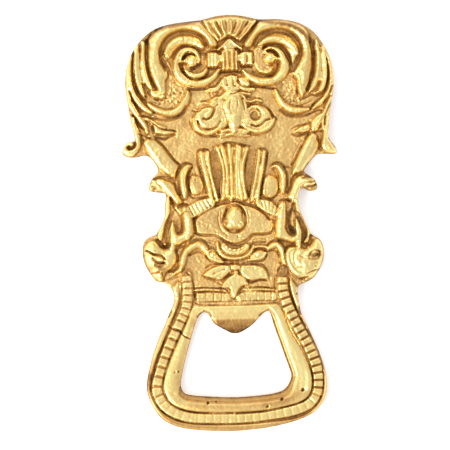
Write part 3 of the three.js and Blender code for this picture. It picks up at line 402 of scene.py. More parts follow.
    # Right spiral: the same, with a wide floor and a split knob
    rod(2.6, 1.3, (12.2, 52.3, 0.4), (14, 51.7, 0.5), (15.5, 50.3, 0.7), (16.5, 48.5, 1.0), (17, 46.6),
        (16.4, 44.8), (15.2, 43.4), (13.4, 42.4), (11.2, 42.1), (9, 42.2), (7, 43, 1.1), (5.2, 44.3, 0.8),
        (3.9, 45.6, 0.4), rubAndHighlight=0.1)
    ridge(0.1, 0.6, (4.3, 44.9), (6.3, 42.7), (8.6, 41.6), (11, 41.4), (13.2, 41.3), rubAndHighlight=0.3)
    ridge(0.1, 0.5, (17.5, 48.5), (17.8, 46.8), (17.5, 45), rubAndHighlight=0.25)
    groove(0.4, 0.25, (6.3, 43), (7.3, 42.8), (8.3, 42.3), dark=0.35)
    level(1.0, 2.3, (9, 51), (9, 48.5), (9.8, 46.6), (11.5, 46), dark=0.16)
    groove(0.6, 0.5, (12.2, 51.4), (13.6, 51), (14.6, 49.8), (14.8, 48), (14.6, 46.2), (13.6, 44.6),
           (12.2, 43.6), (10.4, 43.3), (8.6, 43.9), (7.2, 45.1), dark=0.34)
    ridge(0.4, 0.8, (9.2, 45.2), (11, 44.8), (12.6, 45.4), (13.5, 46.8), rubAndHighlight=0.14)
    # Two shallow grooves under the knob, darkened as its painted shadow
    groove(0.5, 0.4, (11.3, 47), (12.6, 46.8), (13.6, 47), dark=0.5)
    groove(0.3, 0.3, (10.7, 46.4), (11.9, 45.9), dark=0.3)
    ball(2.95, 1.95, 12.2, 49.2, squash=0.95, rubAndHighlight=0.2)
    groove(0.6, 0.4, (10.8, 50.2), (11.8, 49.4), (12.9, 48.4), dark=0.25)
    ridge(0.1, 0.4, (10.9, 48.9), (11.8, 48.1), (12.9, 47.7), rubAndHighlight=0.2)
    # The rim along the top, on both sides, painted brown as shade where the band slopes down to the outline
    tint(0.75, 1.4, (-24.8, 54.8), (-21.9, 57.7), (-18.4, 59.1), (-13.4, 60, 1.2), (-9, 60.6, 0.9))
    tint(0.85, 1.4, (9, 60.4, 0.8), (13.6, 59.6, 1.1), (18.2, 58.7), (21.6, 57), (24.8, 54.2))
    tint(0.4, 1.1, (-9, 59.2), (-13, 59.5), (-17, 58.9))
    tint(0.3, 1.3, (16.6, 59), (20, 58.3), (22.2, 56.6))
    tint(0.24, 2.2, (23.4, 53), (23.4, 47), (22.6, 41))


def carveTie():
    # The tie between the spirals, the palmette over it and the pendant under it.
    tint(0.22, 4.2, (-4, 58.6), (4.4, 58.6))
    for x0, y0, x1, y1, half in ((-3.2, 54.8, -7.0, 60.2, 0.5), (-2.3, 56, -4.7, 60.4, 0.4),
                                 (-1, 56.5, -2.1, 60.4, 0.4), (0.6, 57, 0.8, 60.2, 0.4),
                                 (2, 56.3, 4.4, 60.6, 0.4), (3.3, 54.9, 8, 60.1, 0.5)):
        rod(2.0, half, (x0, y0), ((x0 + x1) / 2 + (x1 > 0) * 0.25 - (x1 < 0) * 0.25, (y0 + y1) / 2),
            (x1, y1), rubAndHighlight=0.38)
    groove(0.6, 0.45, (-7.9, 60.8), (-6.2, 58.8), (-4.8, 56.8), (-3.6, 54.6), dark=0.55)
    groove(0.6, 0.45, (8.7, 59.9), (7, 58.3), (5.2, 56.1), (3.6, 54.2), dark=0.5)
    for x0, y0, x1, y1 in ((-2.7, 55.2, -5.8, 60.3), (-1.6, 56, -3.5, 60.3), (-0.2, 56.2, -0.6, 60.3),
                           (1.2, 56.6, 2.6, 60.4), (2.6, 55.6, 6.2, 60.3)):
        groove(0.6, 0.35, (x0, y0), (x1, y1), dark=0.4)
    rod(2.3, 0.45, (-3.2, 51.9), (-1.4, 53.4), (0.2, 54.7), (1.8, 53.5), (3.8, 52), rubAndHighlight=0.05)
    groove(0.8, 0.35, (-3.6, 52.5), (-1.5, 54.3), (0.2, 55.6), (2, 54.3), (4, 52.5), dark=0.4)
    groove(0.5, 0.3, (-2.4, 52.0), (0.2, 52.2), (3, 51.9), dark=0.35)
    for x in (-1.9, -0.7, 0.9, 2.2):
        rod(2.5, 0.5, (x, 51.2), (x * 0.92, 48.5), (x, 46), rubAndHighlight=0.15)
    for x in (-1.3, 0.1, 1.6):
        groove(0.6, 0.25, (x, 51.4), (x, 46), dark=0.35)
    for x in (-6.1, -5, -4):
        rod(2.1, 0.6, (x, 50.6), (x, 47.2), rubAndHighlight=0.2)
    for x in (4.4, 6.6):
        rod(2.1, 0.6, (x, 50.6), (x, 47.4), rubAndHighlight=0.15)
    groove(0.9, 0.35, (5.4, 50.3), (5.4, 48), dark=0.45)
    for y, x0, x1 in ((51.6, -6.8, -3), (46.3, -6.5, -3.4), (51.4, 3.4, 7), (46.8, 3.6, 6.8)):
        groove(0.7, 0.45, (x0, y), (x1, y), dark=0.45)
    groove(0.9, 0.5, (-3.2, 44.9), (-1, 45.2), (1.5, 45.2), (3.9, 45), dark=0.5)
    groove(0.4, 0.25, (-2, 44.2), (0, 44.1), (2.4, 44.3), dark=0.3)
    # Pendant
    rod(1.8, 0.55, (-1.5, 43.6), (-1.8, 42.3), (-1.7, 40.8), rubAndHighlight=0.25)
    rod(1.8, 0.5, (0.4, 43.9), (0.5, 42.4), (0.2, 40.9), rubAndHighlight=0.25)
    rod(1.7, 0.5, (-1.2, 40.1), (0.6, 40), (2.6, 40.1), rubAndHighlight=0.2)
    groove(0.8, 0.4, (-0.7, 42.9), (-0.8, 41.2), dark=0.4)
    groove(0.8, 0.35, (1.1, 42.9), (1.1, 41.2), (2, 40.9), dark=0.4)
    rod(1.4, 0.45, (-2.2, 43), (-2.8, 41.3), (-3.8, 40), (-5.3, 39.6), (-6.6, 40), rubAndHighlight=0.15)
    rod(1.4, 1.3, (3.2, 43, 0.7), (4.4, 42.3, 1.4), (5.6, 41.4, 0.7))
    rod(1.4, 0.45, (2.6, 40.9), (4, 40), (5.8, 39.6), (7.4, 39.9), rubAndHighlight=0.2)
    groove(0.5, 0.35, (3, 41.1), (4.6, 40.5), (6.6, 40.3), dark=0.4)
    # Grooves under both spirals, darkened as their painted shadow
    groove(0.7, 0.5, (-12.3, 40.3), (-10, 40.3), (-7, 40.5), dark=0.5)
    groove(0.7, 0.5, (6.6, 40.8), (9, 40.7), (11.5, 40.3), (13.6, 40), dark=0.5)


def carveLotus():
    # The lotus on its cushion, between two scrolls.
    # The petals behind the bud join it to the scrolls
    rod(1.5, 3, (-3.8, 35.6, 2.6), (-3.4, 33, 3.0), (-3.2, 30.6, 2.6), flat=0.6)
    rod(1.5, 2.2, (3.4, 35.6, 1.6), (4, 32.6, 2.2), (4.4, 30.4, 2.0), flat=0.6)
    rod(1.7, 1.5, (-2.6, 37.6, 0.8), (-0.4, 38.4), (1.8, 38.4), (3.2, 37.4, 0.6))
    # Left scroll
    rod(1.9, 0.7, (-11.2, 31.5, 0.4), (-10.8, 29.7), (-9.6, 28.1), (-8, 27.2), (-6.1, 27.1), (-4.3, 28.0),
        (-3, 29, 0.5), rubAndHighlight=0.25)
    groove(1.1, 0.42, (-10, 30.6), (-9.3, 29), (-7.8, 28.3), (-6.1, 28.2), (-4.5, 28.8), (-3.4, 30),
           (-3, 30.7), dark=0.5)
    ridge(0.5, 0.9, (-9.4, 31.4), (-8.8, 30.1), (-7.3, 29.3), rubAndHighlight=0.4)
    groove(0.7, 0.5, (-8.2, 31.4), (-7, 31.2), (-5.8, 32), (-5.1, 33.3), (-4.7, 34.3), dark=0.45)
    ridge(0.3, 0.5, (-7.3, 32.5), (-6.2, 33.3), (-5.7, 34.2), rubAndHighlight=0.1)
    groove(0.5, 0.35, (-11.2, 33.9), (-9.6, 33.6), (-8.2, 34.6), (-6.2, 35), (-4.9, 34.7), (-3.6, 35.6),
           dark=0.35)
    tint(-0.25, 1.7, (-10.6, 37.8), (-7, 38.2))
    groove(0.4, 0.3, (-8.6, 36.6), (-7, 36.9), (-5.6, 37.4), (-4.2, 38.2), (-3.2, 39.4), dark=0.3)
    groove(0.4, 0.35, (-6, 39.2), (-5.6, 38), (-4.6, 37), (-3.6, 37.2), dark=0.3)
    ridge(0.4, 0.45, (-9.4, 36), (-7.6, 36.2), (-6, 35.8), (-4.6, 36.3), rubAndHighlight=0.1)
    # Bud
    groove(0.4, 0.25, (0.1, 37), (-0.2, 35.4), (-0.1, 34), (0.4, 32.9), (1, 32.3), dark=0.5)
    groove(0.4, 0.24, (2.1, 37), (2.3, 35.2), (1.9, 33.6), (1.7, 32.6), dark=0.4)
    groove(0.35, 0.25, (-2, 34.2), (-1.5, 33.2), (-0.9, 32.7), dark=0.3)
    groove(0.6, 0.32, (-0.9, 30.9), (-1, 29.7), (-0.8, 28.6), dark=0.38)
    groove(0.6, 0.32, (2.7, 31.8), (3.3, 30.6), (3.6, 29.2), dark=0.38)
    ridge(0.3, 1.1, (1, 31.6), (1, 29.8), rubAndHighlight=0.15)
    groove(0.5, 0.3, (3, 37.9), (3.7, 36.6), (4.1, 35), (4.3, 33.7), dark=0.45)
    # Cushion under the bud
    rod(1.5, 0.6, (-2.7, 27.5), (0, 28), (3, 27.8), (5.2, 27.3))
    groove(0.5, 0.35, (-6.4, 26.5), (-4, 26), (-2.5, 26.1), (-0.8, 26.8), (1.5, 26.9), (3.6, 26.6),
           (5.2, 26), dark=0.45)
    rod(0.9, 0.45, (-3, 25.9), (0, 26.3), (4, 26.1), (5.6, 26.2))
    groove(0.5, 0.5, (-12.2, 30.6), (-11, 28.2), (-8.6, 26.6), (-5.6, 26.1), (-3.6, 26.4), dark=0.3)
    groove(0.5, 0.5, (4.8, 26.6), (7.5, 26.3), (10.4, 26.8), (12.6, 28.6), (13.8, 30.6), dark=0.3)
    groove(0.5, 0.3, (3, 28.4), (4.6, 28.1), (5.8, 27.4), (6.2, 26.8), dark=0.4)
    tint(-0.16, 2.5, (-16, 21), (-13.4, 24), (-12, 27.5))
    tint(-0.14, 1.6, (-4, 24.9), (-1, 25), (3, 24.9))
    tint(-0.1, 2.5, (14, 22), (15.5, 26), (14.6, 30))
    # Painted shade on the ground beside the left scroll
    tint(0.16, 1.6, (-14.4, 34), (-14, 31), (-13, 28.6))
    # Right scroll
    rod(1.9, 0.75, (13.2, 31, 0.4), (12.4, 29.5), (11.2, 28.2), (9.6, 27.5), (7.8, 27.3), (6, 27.9),
        (4.3, 28.6, 0.5), rubAndHighlight=0.25)
    rod(1.7, 0.7, (6.2, 33.6, 0.4), (7.6, 34.5), (9.3, 34), (10.4, 32.7), (10.3, 31.2), (8.9, 30.2),
        (6.9, 30), (5, 30.4), (3.6, 30.6, 0.5), rubAndHighlight=0.2)
    level(0.5, 2.0, (7.2, 32.9), (7.6, 32), dark=0.3)
    rod(1.2, 0.35, (6, 32.6), (6.4, 33.2), (7.5, 33.6), (8.5, 33.1), (8.8, 32.2), rubAndHighlight=0.05)
    groove(0.7, 0.35, (6, 31.7), (6.9, 30.9), (8.1, 31), (8.9, 31.8), (9, 33), (8.2, 33.9), dark=0.4)
    groove(0.8, 0.5, (6.3, 29.2), (7.8, 28.8), (9.2, 29.3), (10.4, 30.4), (11.9, 30.9), dark=0.5)
    groove(0.6, 0.45, (5.2, 34.6), (6.5, 35.4), (8.4, 35.3), (10.4, 34.7), (12, 33.5), (12.9, 32),
           (13.9, 30.8), dark=0.35)
    rod(1.1, 0.4, (3.2, 38.6), (4.2, 37.8), (5, 36.5), (6.6, 36.3), (8, 36.7), (9.6, 36.3), rubAndHighlight=0.1)
    groove(0.4, 0.3, (5, 37.7), (6.5, 37.5), (8, 37.5), (9.6, 36.9), dark=0.35)
    rod(1.0, 0.4, (2.6, 39.1), (4.4, 38.8), (6.2, 38.5), rubAndHighlight=0.05)
    groove(0.4, 0.3, (0.2, 38.6), (1.5, 38.7), (3, 39.6), dark=0.35)


def carveWings():
    # Feathers, crescents, hook, spur and the small leaves under the wings.
    # Left wing: outer rim and feathers, then the lines between them
    rod(1.5, 0.8, (-28.4, 53), (-29.6, 49), (-30.1, 45), (-30.2, 41), (-30.3, 37.5), rubAndHighlight=0.1)
    rod(2.1, 0.95, (-27.5, 53.4, 0.6), (-28, 49.5), (-28, 46), (-27.5, 42.8), (-26.7, 40.3),
        (-25.8, 38.5, 0.4), rubAndHighlight=0.2)
    rod(2.1, 0.9, (-25.7, 54.3, 0.6), (-26, 50), (-25.8, 47), (-25.2, 44), (-24.4, 41.8),
        (-23.6, 40.5, 0.4), rubAndHighlight=0.15)
    rod(1.8, 0.8, (-29.6, 41, 0.4), (-28.9, 38.8), (-27.5, 36.5), (-25.7, 34.6), (-23.8, 33.4, 0.5), rubAndHighlight=0.15)
    rod(1.6, 0.9, (-29.8, 36.5, 0.6), (-29, 34.6), (-27.6, 32.2), (-26, 29.8), (-25.2, 27.6, 0.6), rubAndHighlight=0.15)
    groove(1.2, 0.45, (-28.6, 52), (-28.9, 49), (-28.9, 46), (-28.7, 43), (-28, 41), (-27.2, 39),
           (-26.3, 37.8), (-25.2, 36.6), (-23.5, 35.2), (-22.7, 33.6), dark=0.45)
    ridge(-0.5, 0.6, (-29.2, 49), (-29.4, 46), (-29.2, 43), (-28.6, 40.8), (-27.6, 38.6), rubAndHighlight=-0.2)
    groove(0.8, 0.26, (-26.7, 52.3), (-26.8, 50), (-26.8, 47.5), (-26.5, 45), (-26.2, 43), (-26, 40.8),
           dark=0.45)
    groove(0.9, 0.32, (-30.3, 40.2), (-29.7, 38.4), (-29, 37), (-28, 35.2), (-26.8, 33.7), dark=0.45)
    groove(0.9, 0.35, (-30.2, 35.2), (-29.3, 33.2), (-28.2, 31), (-27.2, 29.5), (-26, 28.6), dark=0.45)
    groove(0.8, 0.35, (-25.6, 38.6), (-25.2, 38.2), dark=0.5)
    # Under the left crescent
    rod(2.0, 0.9, (-24.8, 36.2, 0.4), (-22.6, 34.6), (-20, 33.5), (-17.3, 33.6), (-15.2, 34.9),
        (-13.7, 36.9), (-12.6, 39.6, 0.4), rubAndHighlight=0.3)
    # A broad groove under the crescent, darkened as its painted shadow
    groove(0.8, 0.8, (-22.4, 32), (-20.5, 31.4), (-17.8, 31.5), (-15.6, 32.3), (-14.2, 33.6), (-13.3, 35.3),
           dark=0.4)
    groove(0.8, 0.45, (-27.3, 32.5), (-25.5, 32.5), (-24, 32), (-22.4, 31.6), dark=0.5)
    rod(1.0, 0.5, (-26.4, 31.8), (-24.8, 31.5), (-23.4, 30.6), (-21.8, 29.5), (-19.8, 28.9), rubAndHighlight=0.1)
    groove(0.8, 0.4, (-24.2, 31.1), (-22.7, 29.9), (-21.1, 28.9), (-19.2, 28.2), (-16.6, 27.8), dark=0.4)
    rod(1.4, 0.8, (-22.9, 29.6, 0.3), (-21.8, 28.2), (-20, 27.5), (-17.4, 27.6, 0.3), rubAndHighlight=0.2)
    groove(1.1, 0.6, (-23.6, 29.7, 0.4), (-23.4, 28.6), (-23.1, 27.5, 0.4), dark=0.6)
    # A groove under the sprig, darkened as its painted shadow
    groove(1.1, 0.85, (-23, 26.4, 0.4), (-21.4, 25.9), (-19.8, 25.7), (-18.4, 26.3, 0.6), (-16.6, 27, 0.3),
           dark=0.5)
    groove(0.8, 0.4, (-27.8, 27.1), (-26.6, 26.8), (-25.4, 26.4), (-24.2, 25.8), dark=0.5)
    groove(0.6, 0.45, (-26.8, 26.6), (-26.4, 25), (-26.3, 23.4), (-26.9, 22.2), dark=0.35)
    # Hook
    rod(1.9, 0.8, (-29.2, 32, 0.4), (-28.9, 28.5), (-28.2, 25.8), (-28.1, 23.8), (-28.9, 22.3), (-30.4, 21.6),
        (-31.8, 22.2), (-32.2, 23.4, 0.5), rubAndHighlight=0.2)
    groove(1.4, 0.5, (-31.3, 24.4), (-31.2, 23.4), (-30.4, 22.9), (-29.4, 23.1), (-28.9, 24), (-28.9, 25.3),
           dark=0.6)
    ball(1.5, 0.8, -30, 24.2, rubAndHighlight=0.15)
    # Right wing
    rod(1.5, 0.8, (28.6, 52), (30, 48.5), (30.7, 45), (30.8, 41), (30.9, 38), rubAndHighlight=0.1)
    rod(2.1, 0.9, (26.4, 54, 0.5), (27.1, 50.5), (27, 47), (26.6, 44), (25.6, 41), (24, 38.9, 0.5), rubAndHighlight=0.05)
    rod(2.1, 0.8, (28.3, 51.5, 0.5), (28.9, 48), (29, 45), (28.7, 42), (27.8, 39.7), (26.4, 38.6, 0.4),
        rubAndHighlight=0.2)
    rod(2.0, 1.5, (23.2, 55, 0.8), (23.6, 51), (23.5, 47), (22.9, 43.5), (22.2, 40.5), (21.9, 38.2, 0.6),
        rubAndHighlight=0.05)
    rod(1.8, 0.8, (30.2, 40.3, 0.4), (29.6, 38.3), (28.2, 36.4), (26.6, 35), (25, 33.9, 0.4), rubAndHighlight=0.1)
    rod(1.6, 0.9, (30.5, 37, 0.5), (29.8, 35), (29, 32.5), (28.3, 30), (28, 27.6, 0.5), rubAndHighlight=0.1)
    groove(1.0, 0.5, (25.8, 51), (26.1, 48.5), (25.8, 46), (25.4, 43.7), (24.4, 41.8), (23.2, 39.6), dark=0.4)
    groove(0.6, 0.25, (26.7, 53), (27.5, 51), (27.9, 49), (28, 47), (28, 44.8), dark=0.35)
    groove(1.0, 0.4, (29.5, 48.6), (29.8, 46.5), (29.9, 44), (29.6, 41.5), (29, 39.8), (28.4, 38.7),
           (27.2, 37.8), (26.2, 37.6), (25, 38.1), (23.4, 37.4), (21.5, 36.6), dark=0.45)
    groove(0.9, 0.4, (28.2, 37.6), (26.5, 36.2), (25.2, 34.9), (24.3, 33.5), dark=0.35)
    groove(0.7, 0.35, (31, 40.7), (30.4, 38.9), (29.4, 37.2), (28.4, 35.6), dark=0.4)
    groove(0.8, 0.35, (31.1, 38.2), (30.6, 36.5), (30, 34.8), (29.2, 32.8), (28.6, 31), (28.3, 28.8),
           dark=0.5)
    # Under the right crescent
    rod(2.0, 0.9, (13.7, 39.6, 0.4), (14.8, 36.9), (16.4, 34.8), (18.6, 33.6), (21, 33.4),
        (23.6, 33.6, 0.5), rubAndHighlight=0.3)
    groove(0.4, 0.35, (16.5, 35.9), (18, 35), (20.5, 34.6), (23, 35.3), (25, 36.3), dark=0.25)
    # A broad groove under the crescent, darkened as its painted shadow
    groove(0.9, 0.7, (15.3, 33.4), (17, 32.2), (19, 31.6), (22, 31.7), (24.5, 32.4, 0.45),
           (26.5, 33.3, 0.35), (28.1, 33.2, 0.3), dark=0.45)
    rod(1.6, 1.3, (27.4, 32, 0.4), (26, 30.2, 1.1), (25.5, 28.6, 1.3), (25.3, 27.6, 1.0), rubAndHighlight=0.0)
    ridge(0.3, 0.6, (24.7, 30.2), (24.6, 28.6), (24.6, 27.2), rubAndHighlight=0.35)
    groove(0.8, 0.35, (24, 30), (24, 28.4), (23.8, 26.8), dark=0.35)
    groove(0.7, 0.35, (24, 26.5), (25.5, 26.8), (27.5, 26.9), dark=0.45)
    groove(0.6, 0.3, (18.6, 27.8), (20, 28.6), (22, 29), (23.4, 29.4), dark=0.4)
    rod(1.3, 0.75, (19.6, 27, 0.3), (21.4, 27.7), (23.2, 28.4, 0.5), rubAndHighlight=0.25)
    groove(1.0, 0.7, (18.7, 26.2, 0.4), (20.4, 25.8), (22, 26.2), (23.2, 26.6, 0.5), dark=0.5)
    # Spur
    rod(1.9, 0.7, (29.6, 31), (29.4, 28), (28.5, 25.5), (28.3, 23.5), (29.4, 22), (31.2, 20.9, 0.4), rubAndHighlight=0.15)
    groove(0.6, 0.7, (29.6, 24.6), (30.4, 23.4), (31.2, 22.2), dark=0.25)
    groove(0.7, 0.4, (26.3, 25.6), (26.8, 24), (27, 22.6), dark=0.3)
    groove(1.2, 0.7, (26.6, 22.2), (27.1, 21.4), dark=0.6)


def carveWaist():
    # The arms, horns, shoulders, pads and rods on both sides of the sheaf.
    # Arms
    rod(1.8, 2.2, (-25, 24.4, 1.4), (-22.6, 21.8), (-20.4, 18.9), (-18.6, 16.2, 1.6), rubAndHighlight=0.05, flat=0.4)
    groove(0.7, 0.55, (-22.6, 25.6), (-20.7, 23.8), (-19.4, 22.1), (-18.2, 20.4), (-17, 18.9),
           (-15.5, 17.7), dark=0.4)
    tint(0.08, 2, (-22.6, 22), (-20, 18))
    ridge(0.2, 0.6, (-24.8, 23.6), (-23.4, 21.6), (-22, 19.4), (-21.3, 17), rubAndHighlight=0.25)
    rod(1.8, 1.8, (24.8, 25.2, 1.2), (23.3, 22.3), (21.7, 19.2), (20, 16, 1.5), rubAndHighlight=0.05, flat=0.4)
    groove(0.7, 0.5, (23.5, 26.4), (22.6, 24.6), (21.5, 22.8), (20.5, 21), (19.5, 19), (18.2, 17.1), dark=0.4)
    groove(0.3, 0.3, (21.4, 24.4), (20.3, 22.5), (19.5, 21), (18.7, 19.3), dark=0.2)
    ridge(0.2, 0.5, (23.9, 24), (22.3, 21), (20.6, 17.6), (19, 15.4), rubAndHighlight=0.2)
    # Horns
    rod(2.4, 1.1, (-12.2, 17.3, 0.35), (-13.4, 17.2, 0.6), (-14.5, 16.1, 0.9), (-14.9, 14.2), (-14.9, 12),
        (-14.6, 10), (-14.4, 8.2, 0.8), rubAndHighlight=0.3)
    groove(0.9, 0.5, (-12, 16.9), (-12.4, 18), (-13.6, 18.3), (-15.1, 17.7), (-16.1, 16.3), (-16.7, 14.7),
           (-16.7, 13.3), dark=0.5)
    groove(0.8, 0.5, (-12.6, 16.3), (-13, 15), (-13.3, 13), (-13.2, 11), (-12.7, 9), dark=0.4)
    rod(2.4, 1.05, (12.4, 16.7, 0.35), (13.6, 16.7, 0.6), (14.7, 15.4, 0.9), (15.3, 13.4), (15.3, 11.2),
        (15.1, 9, 0.8), rubAndHighlight=0.3)
    groove(0.9, 0.45, (12, 16.9), (13, 17.7), (14.5, 17.7), (15.8, 16.6), (16.4, 15), (16.8, 13), (16.8, 11),
           (17, 9.6), (16.5, 8.9), dark=0.45)
    groove(0.9, 0.4, (12.4, 16), (13.1, 15), (13.8, 13.4), (14.1, 11.4), (14.1, 9.4), (13.6, 7.8), dark=0.45)
    groove(0.9, 0.7, (16, 16.4), (17.3, 16.3), dark=0.4)
    # Shoulders
    groove(0.9, 0.4, (-24, 13.6), (-22.2, 14.2), (-20.6, 14.3), (-19, 13.8), (-17.2, 13), dark=0.5)
    rod(2.2, 1.1, (-22.2, 13.3, 0.4), (-20.9, 12.5), (-19.7, 11), (-18.6, 9.6), (-17.6, 8.4),
        (-16.6, 6.6, 0.7), rubAndHighlight=0.2)
    ridge(0.2, 0.5, (-20.9, 12.4), (-19.8, 10.9), (-18.6, 9.4), rubAndHighlight=0.3)
    rod(1.8, 0.7, (-23.6, 13, 0.4), (-22.4, 12.4), (-21, 11.2), (-20.4, 10.2, 0.4), rubAndHighlight=0.1)
    groove(0.7, 0.3, (-22.9, 12.8), (-21.9, 11.9), (-21, 10.8), dark=0.4)
    groove(1.2, 0.9, (-24, 11.5, 0.6), (-23.1, 11, 0.8), dark=0.65)
    groove(0.8, 0.5, (-17.4, 12.6), (-17, 10.8), (-16.4, 9.5), (-15.7, 8.8), dark=0.4)
    groove(0.8, 0.4, (18, 12.6), (18.8, 13.7), (20, 14.3), (21.6, 14.6), dark=0.4)
    rod(2.1, 1.2, (24.2, 12.3, 0.4), (22.6, 12.2, 0.7), (20.8, 11.5), (19.5, 10), (18.7, 8),
        (18.3, 6.2, 0.7), rubAndHighlight=0.2)
    groove(1.0, 0.7, (21.2, 12.9, 0.3), (22.4, 13.5), (23.6, 13.2, 0.4), dark=0.5)
    groove(1.0, 0.9, (22.6, 10.6, 0.5), (24, 10.4), (25.2, 10.9, 0.5), dark=0.5)
    groove(0.6, 0.35, (20.4, 10.3), (21.6, 10.9), (23, 11.6), (24.4, 11.8), dark=0.35)
    groove(0.8, 0.45, (17.9, 13), (17.7, 11), (17.3, 9.3), dark=0.35)
    # Ribbons at the very sides of the waist
    rod(1.5, 0.6, (-19.3, 8.2, 0.4), (-19.4, 6), (-19.5, 3.6), (-20, 1.5), (-21.4, -1.5), (-22.4, -4, 0.5),
        rubAndHighlight=0.15)
    groove(1.0, 0.5, (-18.7, 8), (-18.2, 6.5), (-17.6, 5), (-17.1, 4.2), dark=0.4)
    rod(1.5, 0.55, (19.4, 7, 0.4), (19.3, 4.6), (19.9, 2), (21.2, -1), (22.6, -3.4, 0.5), rubAndHighlight=0.15)
    groove(0.9, 0.4, (18.6, 6.8), (18.1, 5), (18.1, 3.6), dark=0.4)
    # Pads in their pockets
    ball(1.3, 2.5, 11.3, 10.6, squash=1.4, turn=5, rubAndHighlight=0.12)
    tint(0.14, 1.6, (12.2, 15.4), (11, 13.6))
    ball(1.1, 2.0, -10.5, 11.6, squash=1.4, rubAndHighlight=0.05)
    tint(0.14, 1.4, (-11.6, 14.4), (-11.2, 12.6))
    tint(0.16, 2.2, (-10.7, 12.6), (-10.4, 10.2))
    groove(0.7, 0.5, (10.8, 20.5), (10.4, 18), (9.8, 15), (9.2, 12), (8.7, 9.6), (8.4, 8), (8.9, 6.9),
           (10.2, 6.5), (12, 6.9), (13.4, 7.9), dark=0.4)
    ridge(0.3, 0.9, (9.4, 10.8), (9.4, 8.8), rubAndHighlight=0.1)
    groove(0.7, 0.45, (-12.8, 8.6), (-11.6, 7.8), (-9.6, 7.8), (-7.6, 8), dark=0.35)
    groove(0.4, 0.35, (-7.6, 9.2), (-8.6, 9.6), (-9.8, 9), dark=0.25)
    # Rods
    for bar in (((-9.2, 21.2), (-8.8, 18), (-8.1, 15), (-7.4, 12), (-6.9, 9.5), (-6.4, 7)),
                ((-7.3, 21.2), (-7.2, 18.5), (-6.6, 15.5), (-5.9, 12.5), (-5.2, 9.5), (-4.7, 7)),
                ((8.3, 21.3), (7.9, 18.5), (7.3, 15), (6.7, 12), (6.1, 9.2), (5.8, 6.8)),
                ((9.8, 21), (9.4, 18), (8.8, 15), (8.1, 11.7), (7.6, 8.8), (7.3, 6))):
        rod(2.3, 0.75, *bar, rubAndHighlight=0.25)
    groove(0.7, 0.32, (-8.2, 20.9), (-7.9, 18.5), (-7.4, 15.7), (-6.8, 13), (-6.3, 10.5), (-5.9, 8.5),
           (-5.6, 7.2), dark=0.45)
    groove(0.7, 0.32, (8.95, 20.5), (8.6, 18), (8, 15), (7.4, 12), (6.8, 9.5), (6.4, 7), dark=0.45)
    groove(0.9, 0.5, (-7, 22), (-8.5, 22.3), (-9.9, 21.8), (-10.1, 20), (-9.9, 17.5), (-9.3, 15),
           (-8.7, 12.8), (-8.1, 10.8), (-7.7, 9.4), dark=0.45)
    groove(0.5, 0.6, (-9.6, 17), (-9.3, 15.4), dark=0.3)
    groove(0.6, 0.4, (7.4, 21.6), (9, 22.1), (10.5, 21.7), (11, 20.6), dark=0.35)
    level(0.1, 1.4, (-5.8, 21.4, 1.0), (-5.4, 18), (-5, 14.5), (-4.5, 11, 0.9), (-4, 7.8, 0.5), dark=0.3)
    level(0.1, 1.4, (6.1, 21.4, 1.0), (5.6, 18), (5.1, 14), (4.9, 11, 0.9), (4.8, 8, 0.5), dark=0.22)


def carveSheaf():
    # The tied sheaf: reeds that spread at both ends, with dark lines between them.
    for top, middle, foot in (((-4.4, 22.5), (-2.7, 16), (-3.1, 7.4)), ((-3, 22.9), (-1.7, 16), (-1.7, 8.2)),
                              ((-0.8, 23.1), (-0.4, 16), (-0.4, 7.2)), ((1.8, 22.9), (1.3, 16), (1.3, 7.6)),
                              ((2.4, 22.6), (2, 15), (2.6, 7)), ((4.6, 22.2), (3, 16), (3.8, 7.6))):
        rod(2.7, 0.85, top, middle, foot, rubAndHighlight=0.2)
    for line in (((-3.7, 22), (-3, 19.8), (-2.4, 17.5), (-2.15, 15), (-2.1, 12)),
                 ((-1.8, 22.6), (-1.4, 20.3), (-0.9, 18.5), (-0.9, 15), (-0.9, 11.5), (-1.1, 8.5)),
                 ((0.9, 22), (0.5, 20), (0.3, 18), (0.4, 15.5), (0.5, 13), (0.9, 11), (1.4, 9.2), (2, 7.4)),
                 ((3.2, 22.6), (2.9, 20.4), (2.3, 18), (2.3, 15.5), (2.5, 12.5), (2.8, 10), (3.2, 8))):
        groove(0.6, 0.26, *line, dark=0.28)
    ridge(0.2, 0.5, (3.5, 19.5), (3, 17.5), (2.9, 15.4), rubAndHighlight=0.35)
    ridge(0.2, 0.6, (-2.7, 10.5), (-2.6, 8.8), (-3.2, 7.3), rubAndHighlight=0.3)
    ridge(0.3, 0.6, (-0.1, 10.5), (-0.2, 8), rubAndHighlight=0.25)
    groove(0.8, 0.5, (-5.2, 22.9), (-3, 23.4), (-1, 24.1), (1, 23.8), (3, 23.2), (5.6, 22.8), dark=0.4)
    groove(0.7, 0.45, (-4.6, 21.6), (-3.8, 19.5), (-3.3, 17), (-3.2, 13), (-3.4, 10), (-3.9, 7.5), dark=0.3)
    groove(0.7, 0.4, (5, 21.4), (4.2, 18.5), (3.8, 15), (3.8, 12), (4.1, 9.5), (4.6, 8), dark=0.3)
    # The dark curve over the arch
    groove(1.2, 0.75, (-11, 2.2), (-9.4, 3.6), (-7.5, 4.8), (-5, 5.8), (-3, 6.2), (-1.4, 6), (0, 6.7),
           (1.5, 6.5), (3, 5.9), (5.2, 5.2), (7.6, 4.2), (9.6, 2.6), (11, 1), dark=0.4)


